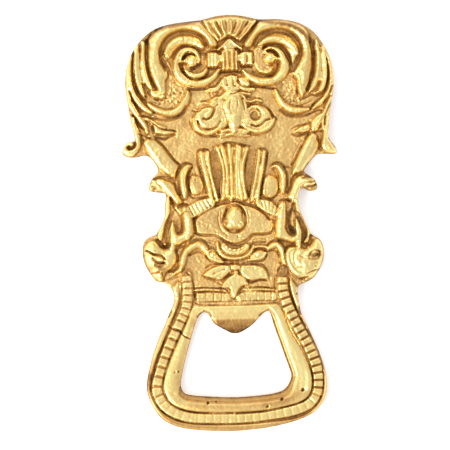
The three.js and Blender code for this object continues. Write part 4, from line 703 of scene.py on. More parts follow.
def carveHeads():
    # The columns, the deep slots between them and the ribbons, and the two bird-like heads.
    # Left column and slots
    rod(2.4, 1.5, (-14.6, 4.6, 0.9), (-13.8, 2), (-13.6, -1), (-14, -3.8, 1.2), rubAndHighlight=0.1)
    ridge(0.2, 0.8, (-13.2, 2), (-13.1, -1), (-13.2, -3.4), rubAndHighlight=0.15)
    groove(0.9, 0.5, (-16.4, 5), (-15.6, 5.8), (-14.6, 6.1), (-13.6, 5.9), dark=0.45)
    groove(0.8, 0.35, (-15.6, 2.6), (-14.6, 3.7), (-13.2, 3.7), dark=0.4)
    groove(0.8, 0.35, (-12.7, 4.8), (-12, 3.2), (-11.8, 1.6), dark=0.4)
    groove(0.8, 0.4, (-11.8, 1.8), (-11.7, -0.4), (-11.3, -2.6), (-9.6, -3.4), dark=0.35)
    rod(1.9, 1.2, (-18.3, 0.6, 0.4), (-18.4, -1.6, 0.9), (-18.2, -4), (-18.6, -7, 1.1), rubAndHighlight=0.05)
    level(-0.3, 1.0, (-17.7, 4.1, 0.5), (-18.4, 2.8, 1.0), (-19.3, 1.2), (-20, -0.8), (-20.3, -3),
          (-20, -5, 0.9), dark=0.34)
    level(-0.3, 0.8, (-19.6, -5.9), (-20.9, -6.6), (-22, -5.8), (-22.9, -4.6, 0.6), dark=0.6)
    ball(1.2, 0.5, -20.7, -5.8, rubAndHighlight=0.1)
    level(0.1, 0.9, (-16.9, 1.2, 0.5), (-16.6, -0.4), (-16.5, -2, 0.6), dark=0.4)
    groove(0.9, 0.4, (-17.2, 4.2), (-16.2, 3.2), (-15.5, 1.2), (-15.3, -0.6), (-15.7, -2.2), (-16.5, -2.8),
           dark=0.35)
    # Right column and slots
    rod(2.4, 1.6, (14.9, 5.2, 1.2), (14.5, 2), (14.3, -1), (14, -4, 1.3), rubAndHighlight=0.1)
    ridge(0.2, 0.7, (13.3, 0.5), (13.1, -1.5), (13.2, -4), rubAndHighlight=0.2)
    groove(0.8, 0.4, (14.4, 6.3), (15.8, 6.7), (17.3, 6), dark=0.5)
    groove(0.8, 0.4, (14.1, 4.3), (15.4, 4.6), (16.7, 4.1), dark=0.5)
    groove(0.7, 0.35, (13.4, 3.4), (12.9, 1.6), dark=0.35)
    rod(1.9, 1.1, (19, 0.6, 0.4), (19.3, -1.6, 0.8), (19.8, -4), (19.4, -7.4, 1.0), rubAndHighlight=0.1)
    level(-0.3, 1.1, (18, 3.9, 0.5), (17.2, 2.4), (16.9, 0.4), (17.3, -1.6), (17.8, -2.5, 1.0), dark=0.75)
    # Painted shade: the foot of the slot is darkened to near black, as the shadow in a deep hole
    tint(1.2, 1.2, (17.5, -1.9), (18, -2.8))
    level(-0.4, 1.0, (17.6, -2.1), (17.9, -2.9), dark=1.1)
    level(-0.3, 1.0, (18.6, 3.2, 0.6), (19.8, 1.4), (20.8, -0.6), (21.5, -2.6), (21.3, -4.8),
          (20.9, -6.4, 0.7), dark=0.5)
    level(-0.2, 0.7, (21.2, -7.1), (22.4, -6.9), (23.3, -5.8), (23.6, -4.4), dark=0.5)
    rod(1.4, 0.4, (21.5, -6.2), (22.3, -5), (22.9, -3.4), rubAndHighlight=0.1)
    # Left head
    groove(0.9, 0.5, (-17.4, -7.9), (-16.4, -6.9), (-14.8, -6.5), (-13.5, -5.9), (-12.5, -5), (-10.6, -4.7),
           (-9, -5.1), (-8.2, -6), (-7.8, -7), dark=0.35)
    groove(1.0, 0.5, (-17.3, -8.2), (-17, -9.8), (-16.7, -11.2), (-17, -12.4), (-18.1, -13.5), (-19.6, -14),
           dark=0.4)
    rod(2.0, 1.1, (-16.2, -13.6, 0.5), (-15.6, -11.2), (-14.9, -9), (-13.4, -7.3), (-11.5, -6.3),
        (-9.9, -6.4), (-8.6, -7.6), (-7.8, -9, 0.8), rubAndHighlight=0.15)
    groove(0.7, 0.5, (-13.4, -9.2), (-12, -8.6), (-10.5, -8.3), (-9.2, -8.8), (-8.3, -9.8), dark=0.3)
    groove(0.5, 0.3, (-13.8, -8.4), (-13.7, -9.3), dark=0.35)
    groove(1.2, 0.5, (-26.4, -7.6), (-25.9, -7.8), dark=0.6)
    tint(0.36, 3.4, (-23.8, -12.4), (-22, -13))
    tint(0.2, 2.4, (-24.6, -7), (-22, -7.6))
    groove(1.1, 0.6, (-25.4, -8.1), (-24.2, -8.8), (-22.8, -9), (-21.7, -9.4), (-21, -10.2), dark=0.7)
    groove(0.9, 0.55, (-24.5, -9.9), (-23.6, -10.9), (-22.4, -11.4), (-21.2, -11.2), dark=0.5)
    ridge(0.4, 0.4, (-24, -9.6), (-22.6, -10.1), (-21.6, -10.8), rubAndHighlight=0.25)
    groove(0.5, 0.9, (-23.6, -11.9), (-22.2, -12.2), (-20.9, -11.6), dark=0.15)
    groove(0.9, 0.4, (-25.2, -14.4), (-23.9, -14.3), (-22.6, -14), dark=0.45)
    groove(0.9, 0.4, (-21.8, -14.4), (-21.4, -15.6), (-21, -16.7), dark=0.45)
    groove(0.4, 0.3, (-23.3, -16.4), (-23, -15.2), dark=0.3)
    ridge(0.2, 0.9, (-25, -6.4), (-23, -7.2), (-21.4, -8), rubAndHighlight=0.25)
    ridge(0.2, 0.9, (-26, -9.6), (-25.4, -11.4), rubAndHighlight=0.1)
    tint(0.32, 1.6, (-24.8, -12.4), (-22.4, -13))
    ridge(0.2, 0.6, (-22.5, -15.3), (-22.2, -16.2), rubAndHighlight=0.3)
    groove(0.8, 0.6, (-20.7, -16.4), (-19, -16.2), (-17.4, -15.6), (-15.6, -14.9), (-14.2, -14), dark=0.4)
    # Right head
    groove(0.8, 0.45, (10, -7.4), (11.1, -6.2), (12.4, -5.5), (13.7, -5.7), (14.7, -6.8), (15.1, -7.8),
           dark=0.45)
    rod(2.0, 0.9, (10.2, -8.2, 0.5), (11.4, -7.2), (12.8, -6.8), (14, -7.7), (14.6, -9.2), (14.7, -11, 0.7),
        (15.4, -13, 0.5), rubAndHighlight=0.15)
    groove(0.7, 0.5, (9.3, -8.8), (10.8, -8.3), (12.4, -8.4), (13.4, -9.4), (13.9, -10.8), (14.1, -12.2),
           dark=0.35)
    groove(1.1, 0.5, (19.1, -7.5), (17.6, -7.1), (16.2, -7.5), (15.4, -8.7), (15.3, -10.6), (15.7, -12.2),
           (16.6, -13.9), (17.7, -15.4), (18.6, -16.3, 0.7), (20.2, -16.9, 0.7), (21.9, -16.7), dark=0.5)
    rod(2.4, 1.0, (18, -8, 0.5), (16.6, -8.8), (16.2, -10.6), (16.7, -12.6), (17.9, -14.6), (19.6, -15.9),
        (21.4, -16, 0.6), rubAndHighlight=0.25)
    groove(1.0, 0.6, (18.8, -8.3, 0.4), (18.2, -9.5), (18, -11), (18.3, -12.5), (19.1, -13.5, 0.9),
           (20.2, -13.7, 0.6), dark=0.4)
    groove(0.9, 0.45, (22.5, -10.6), (23.2, -9.3), (24.5, -8.7), (25.8, -9.2), (25.9, -10.3), (25, -11.3),
           (23.6, -11.4), (22.6, -11.1), dark=0.5)
    groove(0.6, 1.0, (23.8, -10.3), (25, -10.1), dark=0.5)
    tint(0.7, 1.3, (23.2, -10.5), (25.4, -9.9))
    ridge(0.3, 0.4, (23.6, -10.5), (24.6, -10), rubAndHighlight=0.1)
    groove(0.4, 0.4, (19.9, -10.3), (21.4, -11), (22.8, -11.3), dark=0.3)
    ridge(0.2, 0.9, (20.4, -8.2), (19.6, -9.6), rubAndHighlight=0.2)
    ridge(0.2, 0.9, (20.8, -12.2), (21.4, -13.2), rubAndHighlight=0.2)
    groove(0.4, 0.35, (24.3, -12.2), (24.5, -12.3), dark=0.3)
    groove(0.4, 0.35, (24.3, -13.4), (24.5, -13.5), dark=0.3)
    groove(0.6, 0.4, (21.9, -15.7), (23.8, -14.8), (25.8, -14.5), dark=0.35)


def carveArch():
    # The arch with its bud, and the garland, almonds and bow below it.
    groove(0.9, 0.55, (-11.4, -2.7), (-9.5, -3.4), (-7, -3.5), (-5.2, -3.7), (-4, -4.4), (-2.8, -5.4),
           (-1, -6.3), (0.5, -6.8), (2.2, -6.6), (3.8, -5.9), (4.8, -5), (5.8, -4), (7.2, -3.7),
           (9.5, -3.7), (11.4, -3.2), (12.1, -1.8), dark=0.35)
    tint(0.12, 3.5, (-9, 0.5), (-4, -0.5))
    tint(0.1, 3, (-5, 3), (-2, -3))
    tint(-0.08, 2.5, (6, 1), (9.6, -0.6))
    # Rings round the bud, and its three lobes
    groove(0.8, 0.5, (-2.1, 3.4), (-1.4, 5), (0.3, 5.7), (2, 5.1), (3.2, 3.5), (3.8, 1.6), (3.8, 0),
           (3, -1.5, 0.7), (1.6, -2.5, 0.8), (0.1, -2.7, 0.8), (-1.5, -2), (-2.7, -0.6), (-2.9, 1.2),
           (-2.1, 3.4), dark=0.4)
    groove(0.3, 0.3, (-4.2, 3.4), (-4.5, 1.6), (-4.2, -0.6), (-3.2, -2.5), (-1.8, -3.7), dark=0.22)
    groove(0.3, 0.3, (4.4, 3.4), (4.9, 1.6), (4.6, -0.4), (3.6, -2.2), dark=0.22)
    groove(0.2, 0.25, (-3.4, 3.6), (-3.7, 1.8), (-3.4, 0), dark=0.15)
    ball(2.7, 1.9, 0.4, 3, squash=1.15, turn=0, rubAndHighlight=0.25)
    ball(2.7, 1.6, -0.8, -0.5, rubAndHighlight=0.3)
    ball(2.6, 1.7, 1.8, -0.2, rubAndHighlight=0.25)
    groove(0.6, 0.35, (-2.1, 1.4), (-1.2, 0.7), (-0.5, 0), dark=0.5)
    groove(0.5, 0.3, (2.9, 3.3), (2.8, 2.1), (2.4, 1.3), dark=0.4)
    groove(0.5, 0.3, (1.5, 0.4), (2.3, -0.3), dark=0.4)
    groove(0.5, 0.35, (1.4, -3.9), (1.4, -4.3), dark=0.4)
    # Garland
    rod(1.9, 0.6, (-5, -5.9), (-4.9, -7.4), (-4.1, -9), (-2.4, -10.2), (0.4, -10.6), (3, -10.2),
        (4.9, -8.8), (5.9, -7.2), rubAndHighlight=0.1)
    rod(1.7, 1.1, (-3.2, -7), (-1.6, -8.3), (0.4, -8.8), (2.4, -8.4), (3.9, -7.2), rubAndHighlight=0.1)
    groove(0.7, 0.35, (-4.4, -6), (-4, -7.3), (-3.2, -8.6), (-1.7, -9.6), (0.3, -9.9), (2.3, -9.7),
           (3.8, -8.9), (4.7, -7.8), (5.2, -6.6), dark=0.4)
    groove(0.4, 0.28, (-3.1, -7), (-1.6, -8), (0.4, -8.4), (2, -8.1), (3.6, -7.1), dark=0.3)
    groove(0.7, 0.45, (-5, -8.8), (-4.2, -10), (-2.9, -10.9), (-1, -11.3), (1, -11.3), (2.6, -11),
           (4.6, -10), dark=0.35)
    for x, y in ((-2.2, -7.1), (-1.1, -7.7), (0.3, -8), (1.6, -7.8), (2.8, -7.2)):
        ball(1.9, 0.45, x, y, rubAndHighlight=0.1)
    # Almonds
    groove(0.6, 0.35, (-7.7, -7.6), (-6.6, -7.4), (-5.4, -7.8), dark=0.35)
    rod(1.7, 0.5, (-7.8, -8.4), (-7.6, -9.8), (-6.4, -10.7), (-4.8, -11.3), (-3.4, -11.6), rubAndHighlight=0.15)
    groove(0.7, 0.4, (-8.3, -10), (-7.2, -11), (-5.4, -11.7), (-3.4, -12), (-2, -11.9), dark=0.35)
    ball(1.9, 0.95, -6.5, -9.2, squash=0.75, rubAndHighlight=0.25)
    groove(0.5, 0.28, (-7.5, -8.8), (-6.6, -8.2), (-5.6, -8.6), (-5.4, -9.4), dark=0.3)
    rod(1.6, 0.4, (5.8, -7.6), (7, -7.2), (8.8, -7.2), (10, -7.5), rubAndHighlight=0.1)
    groove(0.6, 0.3, (5.4, -8.2), (6.8, -7.8), (8.6, -8.2), dark=0.35)
    groove(0.5, 0.28, (5.6, -6.3), (7.5, -6.1), (9.6, -6.1), dark=0.35)
    ball(1.9, 1.1, 7.3, -9.4, squash=0.7, rubAndHighlight=0.25)
    rod(1.6, 0.5, (9.5, -9.2), (8.7, -10.4), (7, -11), (5, -11), rubAndHighlight=0.15)
    groove(0.7, 0.4, (9.9, -9.6), (9.2, -11), (7.2, -11.8), (4.8, -11.7), (3, -12), dark=0.35)
    for y in (-5.3, -6.1):
        groove(0.35, 0.25, (-7.3, y + 0.3), (-6, y), (-4.9, y - 0.3), dark=0.25)
        groove(0.35, 0.25, (5.8, y + 0.2), (8, y + 0.4), (10, y + 0.2), dark=0.25)
    # Bow: two flat leaves, a knot and a pointed tail
    rod(1.5, 1.7, (-9, -15.2, 0.3), (-7.4, -14.9, 1.1), (-5.4, -14.7, 1.9), (-3.2, -14, 1.6),
        (-1.5, -13.6, 1.0), rubAndHighlight=0.25, flat=0.7)
    rod(1.5, 2.2, (2.8, -14, 1.4), (4.9, -14.9, 2.4), (7.2, -15, 2.1), (8.9, -15.9, 1.2), (9.9, -16.6, 0.4),
        rubAndHighlight=0.25, flat=0.7)
    rod(1.5, 1.6, (-3.9, -19, 0.2), (-2.3, -18.2, 1.2), (0.1, -17.3, 2.0), (2.3, -17.6, 1.3),
        (3.9, -18.2, 0.3), rubAndHighlight=0.25, flat=0.7)
    rod(1.5, 1.2, (0, -18.5, 1.8), (-0.3, -20.6, 1.1), (-0.4, -22, 0.5), rubAndHighlight=0.2, flat=0.6)
    rod(1.4, 0.9, (-1, -13.2), (1.8, -13.5), rubAndHighlight=0.05, flat=0.5)
    groove(0.6, 0.35, (-6.4, -15), (-5, -14.6), (-3.9, -14.1), (-2.8, -13.8), dark=0.4)
    groove(0.5, 0.35, (-1.3, -12.8), (-0.9, -14), (0.2, -14.2), (1.7, -14), dark=0.4)
    groove(0.5, 0.4, (1.9, -12.6), (2, -14), dark=0.3)
    groove(0.6, 0.4, (-8.4, -13.2), (-7, -12.3), (-4.6, -12.1), (-2.2, -12.4), (0, -11.9), dark=0.4)
    groove(0.6, 0.45, (-9.6, -15.4), (-8.4, -16.4), (-6.8, -16.7), (-5.6, -17.4), (-4.3, -18.1), dark=0.45)
    groove(0.5, 0.35, (-3.9, -17.4), (-2.4, -16.2), (-1, -15.3), dark=0.35)
    groove(0.6, 0.4, (2.6, -12.3), (5.5, -12.4), (8.6, -12.7), (9.7, -14.4), (10.3, -16.2), dark=0.4)
    groove(0.6, 0.45, (3.4, -17.4), (5.2, -18), (6.8, -17.4), (8.4, -17.1), (9.8, -17.4), dark=0.4)
    groove(0.6, 0.4, (-4.2, -19.3), (-2.4, -19.8), (-1.6, -21.4), (-0.5, -22.7), (1.3, -22.3), (1.7, -20.5),
           (2.9, -19), dark=0.4)
    # Rays that spread from the arch
    rod(1.7, 2, (-12.4, 3.8), (-9.8, 5.1), (-6.8, 6.2, 1.6), rubAndHighlight=0.1, flat=0.8)
    rod(1.7, 1.8, (8.4, 5.6, 1.3), (10.4, 4.8), (12.6, 3.2, 1.5), rubAndHighlight=0.1, flat=0.8)
    for x0, y0, x1, y1 in ((-13.3, 5.2, -11.9, 2.4), (-12.2, 5.7, -10.8, 2.9), (-11.1, 6.1, -9.8, 3.5),
                           (-10, 6.6, -8.7, 4.1), (-8.9, 7, -7.6, 4.6), (-7.8, 7.3, -6.5, 5.1),
                           (8.6, 6.4, 9.2, 4.4), (9.8, 6.2, 10.2, 3.9), (11.1, 6, 11, 3.6),
                           (12.5, 5.6, 11.9, 2.8), (13.4, 4.6, 12.6, 1.8)):
        groove(0.6, 0.28, (x0, y0), (x1, y1), dark=0.3)


border = dict(
    halfWidth=1.85,
    floor=0.35,  # level between the pellets
    pellet=0.75,  # their height over it
    pitch=2.35,
    gap=0.3,
    shoulder=0.45,  # rounding of their ends
    railShare=0.86,  # the pellets stop there, and the dark line begins
    railSoft=0.3,
    wornBelow=-56,
    sharpAbove=-50,
    leastSharp=0.12,
    leftSharp=0.75,  # the left leg is rubbed more
    runs=(0, 14, 38, 90, 128),
    counts=(0, 7, 15, 37, 54),  # pellets passed at each of those runs
)


def carveBorder():
    # A ladder of pillow-shaped pellets runs round the loop between two dark lines. They are counted along the
    # run, longest on the left leg, stop short of the lines, and are worn away at the bottom.
    path = ((-14.4, -15.2), (-14.3, -18), (-14.4, -21.5), (-14.9, -25), (-16.4, -28.4), (-18.2, -32),
            (-20.2, -36.2), (-22, -40.4), (-23.6, -45), (-24.3, -48.6), (-23.6, -51.4), (-21.9, -54.2),
            (-18.6, -56.4), (-14, -57.8), (-8, -58.3), (0, -58.45), (8, -58.1), (14, -57.2), (18.6, -56.1),
            (22, -54.4), (24, -51.6), (24.5, -48), (24.2, -44.4), (23, -40.4), (21.2, -36.2), (19.2, -32.4),
            (17.4, -28.8), (15.8, -25), (14.7, -21.4), (14.4, -18), (14.6, -14.6))
    area, share, run = strokeShare(path, border["halfWidth"], steps=8)
    sharp = (gridY[area] - border["wornBelow"]) / (border["sharpAbove"] - border["wornBelow"])
    sharp = np.clip(sharp, border["leastSharp"], 1) * np.where(gridX[area] < 0, border["leftSharp"], 1.0)
    phase = np.interp(run, border["runs"], border["counts"]) % 1
    fromEnd = np.minimum(phase, 1 - phase) * border["pitch"] - border["gap"] / 2
    along = np.clip(fromEnd / border["shoulder"], 0, 1)
    across = fade(-share, -border["railShare"], border["railSoft"])
    along = 1 - sharp * (1 - along * (2 - along))
    across = across * (2 - across)
    hold = fade(-share, -1.06, 0.12)
    pellets = border["floor"] + border["pellet"] * along * across
    height[area] = height[area] * (1 - hold) + (ground + pellets) * hold
    inner = fade(-share, -1, 0.1)
    rails = 0.4 * (1 - across) * np.maximum(sharp, border["leftSharp"])
    gaps = 0.5 * inner * (1 - along)
    stainAndShade[area] += hold * (rails + gaps - 0.1 * along * across)


opening = dict(
    left=0.45,  # how far the wall leans out on each side
    right=1.2,
    bottom=2.1,
    corner=0.9,
    bottomFrom=48.5,  # how far down the bottom's lean starts, and its fade
    bottomFade=3,
    rightFrom=9,
    cornerFrom=-29,
    drop=2.3,  # how deep the lean goes
    wallDark=0.3,
    halfTooth=7,  # half the tooth's width
    toothSlope=0.3,  # the tooth's file cut, and where it starts
    toothFrom=-28.6,
    toothDrop=1.4,
)


def carveOpening():
    # The opening's walls lean outwards: none to speak of on the left, more on the right, most below. The
    # tooth is filed to a slope.
    walls = outerWalls()
    middle = walls.mean(axis=1)
    ring = (np.abs(middle[:, 0]) < 20) & (middle[:, 1] > -55) & (middle[:, 1] < -25.5)
    area = window(-23, 23, -58, -24)
    x, y = gridX[area], gridY[area]
    depth = np.abs(depthInside(walls[ring], x, y))
    below = fade(-y, opening["bottomFrom"], opening["bottomFade"])
    right = fade(x, opening["rightFrom"], 3) * fade(-y, 26, 1.5)
    width = opening["left"] + (opening["right"] - opening["left"]) * right
    width = width + (opening["bottom"] - width) * below
    corner = fade(y, opening["cornerFrom"], 1.5) * fade(np.abs(x), opening["halfTooth"] - 1, 1)
    width = np.maximum(width, opening["corner"] * corner)
    share = np.clip(1 - depth / width, 0, 1)
    onTooth = fade(-np.abs(x), -opening["halfTooth"], 1) * fade(y, -40, 4)
    leaning = (width > 0.6) * (1 - onTooth)  # a narrower lean wouldn't show
    height[area] -= opening["drop"] * share ** 0.8 * leaning
    stainAndShade[area] += opening["wallDark"] * share ** 0.6 * leaning
    slope = np.clip((opening["toothFrom"] - y) * opening["toothSlope"], 0, opening["toothDrop"]) * onTooth
    height[area] -= slope
    # The filed slope is darkened as painted shade on the facet that tilts away, more so further down it
    stainAndShade[area] += 0.5 * np.clip(slope * 6, 0, 1) + 0.2 * slope


def carveLoop():
    # The rims of the border, the bar over the opening, the marks that use has left, and painted light and
    # shade on the band and its rim.
    # Outer line and inner line of the border; the inner one is broken at the bottom
    groove(0.6, 0.32, (-16.7, -17), (-16.7, -20.5), (-17, -23.5), (-18.4, -27), (-20.2, -31),
           (-21.6, -34.5), (-23.3, -39.3), (-24.6, -43), (-25.6, -46.4), (-26.1, -49.2), (-25.4, -52),
           (-24, -54.4), (-22.2, -56.2), (-19.4, -58), (-16, -59.1), (-12, -59.6), (-8, -59.8), (-4, -59.9),
           (0, -60), (5, -59.7), (10, -59.2), (15, -58.7), (18.4, -58), (21.2, -56.9), (23.2, -55.4),
           (24.8, -53.3), (25.7, -51), (26.1, -48.4), (26.1, -45.5), (25.7, -42.5), (24.8, -39.4),
           (23.3, -36), (21.8, -33), (20.2, -30), (19, -27.4), (17.9, -24.8), (17, -22), (16.5, -19),
           (16.5, -17), dark=0.28)
    groove(0.4, 0.6, (24.8, -39.4, 0.2), (23.3, -36, 0.4), (21.8, -33), (20.2, -30), (19, -27.4),
           (17.9, -24.8), (17, -22, 0.35), dark=0.3)
    groove(0.6, 0.32, (-14.4, -14.3), (-13.1, -15.8), (-12.4, -17.6), (-12.2, -20.4), (-12.7, -24),
           (-14.1, -27), dark=0.4)
    groove(0.5, 0.32, (-14.1, -27), (-15.4, -30), (-17, -33.1), (-18.6, -36.3), (-20.1, -39.6), (-21.4, -43),
           (-22.2, -46), (-22.3, -48.6), (-21.6, -51), (-20.3, -53.2), (-18.6, -54.6), (-16.4, -55.5),
           (-14, -56.1), (-11, -56.5), (-8.8, -56.6), dark=0.35)
    groove(0.5, 0.3, (-3.5, -56.7), (-1.4, -56.8), dark=0.45)
    groove(0.6, 0.32, (-0.5, -57), (3, -56.9), (7, -56.7), (11, -56.2), (15, -55.3), (18, -54.5),
           (20.4, -53.5), (21.9, -52), (22.6, -50), (22.8, -47.5), (22.5, -45), (21.8, -42), (20.6, -39),
           (19.2, -36), (17.7, -33.2), (16.2, -30.5), (15, -28), (13.8, -26), (12.8, -24.2), dark=0.45)
    groove(0.6, 0.32, (12.4, -23.4), (12.1, -20.5), (12.2, -17.6), (12.8, -15.4), (13.8, -13.6), dark=0.4)
    # The bead row over the opening: two rails, and cells between upright cuts
    level(0.5, 1.7, (-11.6, -22.1), (-2.2, -22.2))
    level(0.5, 1.7, (2, -22.2), (11.8, -22.2))
    rod(1.0, 0.4, (-12, -19.8), (-8, -19.7), (-4.6, -20))
    rod(1.0, 0.4, (4.8, -20), (8, -20), (11.8, -20.3))
    groove(0.6, 0.3, (-12.2, -19.3), (-9, -19.2), (-5.6, -19.5), (-4, -19.2), dark=0.4)
    groove(0.6, 0.3, (-12, -20.4), (-8, -20.3), (-4.4, -20.5), (-2.8, -20.8), dark=0.4)
    groove(0.6, 0.3, (4.6, -19.4), (8, -19.4), (11.6, -19.9), dark=0.35)
    groove(0.6, 0.3, (2.6, -20.3), (5, -20.3), (9, -20.6), (11.8, -20.7), dark=0.4)
    groove(0.4, 0.25, (-11.4, -23.5), (-7, -23.4), (0, -23.4), (6, -23.4), (12, -23.7), dark=0.35)
    groove(0.7, 0.35, (-11.8, -23.8), (-10, -24.2), (-7, -24.4), (0, -24.5), (7, -24.4), (12.4, -24.2),
           dark=0.5)
    for x in (-8.7, -6.3, -3.9, 3.2, 4.7, 6.7, 8.9, 11):
        groove(0.35, 0.2, (x, -20.9), (x * 1.01, -23.2), dark=0.35)
    groove(0.6, 0.6, (-12, -21), (-11.9, -23.4), dark=0.4)
    tint(-0.16, 1.7, (3, -22), (11.4, -22.2))
    tint(-0.06, 1.7, (-11, -22), (-3, -22.2))
    # Bar and band, rubbed by use, with a painted highlight down the right leg and painted shade along the
    # rounded outer rim
    ridge(0.45, 1.7, (15.2, -27.6), (18, -33.6), (20.6, -40), (21.9, -46), (21.6, -49.6), rubAndHighlight=0.1)
    level(1.1, 3.1, (-11.5, -26.5), (0, -26.6), (12, -26.5), dark=-0.15)
    level(1.1, 3.4, (-4.4, -28.6), (0, -30), (4.4, -28.6))
    # Painted highlight down the right leg
    tint(-0.75, 2.3, (13.4, -28), (16, -35), (18.8, -42), (20.4, -48))
    tint(-0.08, 2, (-13.6, -28), (-17, -38), (-20.4, -46))
    tint(0.26, 1.7, (-14, -54.2), (0, -55), (12, -54.2), (18, -52))
    tint(0.24, 1.7, (8, -54.4), (15, -53.2))
    # Painted shade along the rounded outer rim, all round the loop
    tint(0.55, 1.4, (-23, -38, 0.7), (-26.6, -46), (-27, -51), (-24.4, -56), (-17, -60), (0, -61.6),
         (14, -60.4), (22, -58))
    ridge(0.1, 1.2, (-11, -25.6), (0, -25.6), (11, -25.7), rubAndHighlight=0.12)
    ridge(0.1, 1.2, (13.4, -29), (16, -35), (18.6, -41), (20, -46), (19.6, -50), rubAndHighlight=0.1)
    ridge(0.1, 1.2, (-14, -31), (-17, -38), (-19.6, -45), (-20, -49), rubAndHighlight=0.1)
    tint(0.14, 1.9, (-16.4, -28.4), (-20.2, -36.2), (-23.6, -45))
    # More painted shade on the left outer rim
    tint(0.35, 1.2, (-26, -45), (-27, -49), (-26.6, -52.4))
    tint(-0.14, 1.1, (-10, -61.4), (0, -61.6), (10, -61))
    tint(0.1, 1.9, (17.4, -28.8), (21.2, -36.2), (23.8, -44))
    # Casting crack and pits
    groove(0.7, 0.34, (-20.4, -30), (-19.5, -30.8), (-18.3, -31.6), (-17.1, -31.7), (-16.4, -32.6),
           (-15.3, -33.6), (-14.1, -34.2, 0.15), dark=1.0)
    for x, y, r in ((-18.7, -44.1, 0.35), (-17.6, -44, 0.3), (-9, -53.6, 0.4), (8.9, -55.2, 0.4),
                    (13.3, -53.1, 0.45), (19.7, -50.5, 0.55), (-6.5, -53.3, 0.25), (18.6, -21.6, 0.3),
                    (-25.4, 38.3, 0.3)):
        groove(0.8, r + 0.06, (x - 0.1, y - 0.1), (x + 0.1, y + 0.15), dark=1.2)


def punchGround():
    # The punched ground inside both crescents, and a little above the left pad.
    stipple(3.4, (-16.8, 41.4, 1.9), (-16.4, 38.8), (-18.4, 36.8, 2.6), (-22, 37, 1.4))
    stipple(3, (17, 42.2, 1.5), (18, 40), (18.4, 38), (20.4, 36.6, 1.6))
    stipple(2, (-11.4, 15.8, 1), (-11, 13.6, 0.8))


punchGround()
carveCrest()
carveTie()
carveLotus()
carveWings()
carveWaist()
carveSheaf()
carveHeads()
carveArch()
carveBorder()
carveLoop()
carveOpening()
print("relief carved")

# The skin that the sand leaves: fine grain, slow swells, and deeper marks where the ground is punched.
skin = dict(grainRadius=0.22, grain=0.036, swellRadius=1.1, swell=0.05, wornLoop=0.4, punchRadius=0.22,
            punch=0.11, punchSink=0.05, punchStain=0.24, punchFrom=0.3, punchRub=0.06)
height = blurred(height, casting["soften"])
calm = np.where(gridY < kneeY, skin["wornLoop"], 1)
height += calm * cloudy(skin["grainRadius"]) * skin["grain"]
height += calm * cloudy(skin["swellRadius"]) * skin["swell"]
pebbles = cloudy(skin["punchRadius"])
height += stippled * (skin["punch"] * pebbles - skin["punchSink"])
stainAndShade += stippled * (skin["punchStain"] * np.clip(-pebbles - skin["punchFrom"], 0, 2) - skin["punchRub"])

# The face is rounded down to the outline.
drop = np.clip(1 - edge / casting["topRound"], 0, 1)
height -= casting["topRound"] * (1 - np.sqrt(1 - drop ** 2 * 0.98))

# Patina and painted light, from 0, bright with rubbing and painted highlight, to 1, dark with tarnish and
# painted shade: brighter where a point stands over the mean height round it, near and wide, and where it is
# high at all. Darker along the outline, as painted shade on its rounded edge, and where a stroke has left
# stain, painted shade or a painted highlight.
tarnishAndShade = dict(nearRadius=0.3, nearHeight=0.14, near=0.19, wideRadius=1.8, wideHeight=0.8, wide=0.08,
               fullHeight=2.2, high=0.2, stainAndShade=0.85, stainBlur=0.1, rim=((0.1, 1.4), (0.3, 0.5)),
               contrast=1.9, back=0.75, seat=0.9)
weight = metal.astype(float)
near = np.tanh((height - blurred(height, tarnishAndShade["nearRadius"], weight)) / tarnishAndShade["nearHeight"])
wide = np.tanh((height - blurred(height, tarnishAndShade["wideRadius"], weight)) / tarnishAndShade["wideHeight"])
raised = np.clip((height - ground) / tarnishAndShade["fullHeight"], 0, 1)
# Painted shade along the rounded outline, strongest in the last half millimetre
outlineShade = sum(dark * np.clip(1 - edge / width, 0, 1) for dark, width in tarnishAndShade["rim"])
stainedAndShaded = tarnishAndShade["stainAndShade"] * blurred(stainAndShade, tarnishAndShade["stainBlur"])
lean = stainedAndShaded + outlineShade - tarnishAndShade["near"] * near - tarnishAndShade["wide"] * wide - tarnishAndShade["high"] * raised
patina = 0.5 + 0.5 * np.tanh(tarnishAndShade["contrast"] * lean)
print("patina between", patina.min().round(2), "and", patina.max().round(2))

centreX = (gridX[:-1, :-1] + gridX[1:, 1:]) / 2
centreY = (gridY[:-1, :-1] + gridY[1:, 1:]) / 2


def atCentres(field):
    # A field at the middle of each cell: the mean of its four corners.
    return (field[:-1, :-1] + field[1:, :-1] + field[:-1, 1:] + field[1:, 1:]) / 4


def baseOf():
    # Which of plate, loop and tooth each cell belongs to, as 1, 2 and 3.
    lowest, highest = (np.array(c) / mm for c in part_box("cap_tooth"))
    tooth = (centreX > lowest[0]) & (centreX < highest[0]) & (centreY < kneeY) & (centreY > lowest[1] - 1)
    inTooth = np.zeros(centreX.shape, bool)
    toothLap = 0.35  # the tooth's cells run this far out, so that no thin strip is left beside it
    inTooth[tooth] = depthInside(baseFoot["cap_tooth"], centreX[tooth], centreY[tooth]) > -toothLap
    inLoop = np.zeros(centreX.shape, bool)
    inLoop[tooth] = depthInside(baseFoot["opener_loop"], centreX[tooth], centreY[tooth]) > 0
    return np.where(centreY > kneeY, 1, np.where(inTooth & ~inLoop, 3, 2))


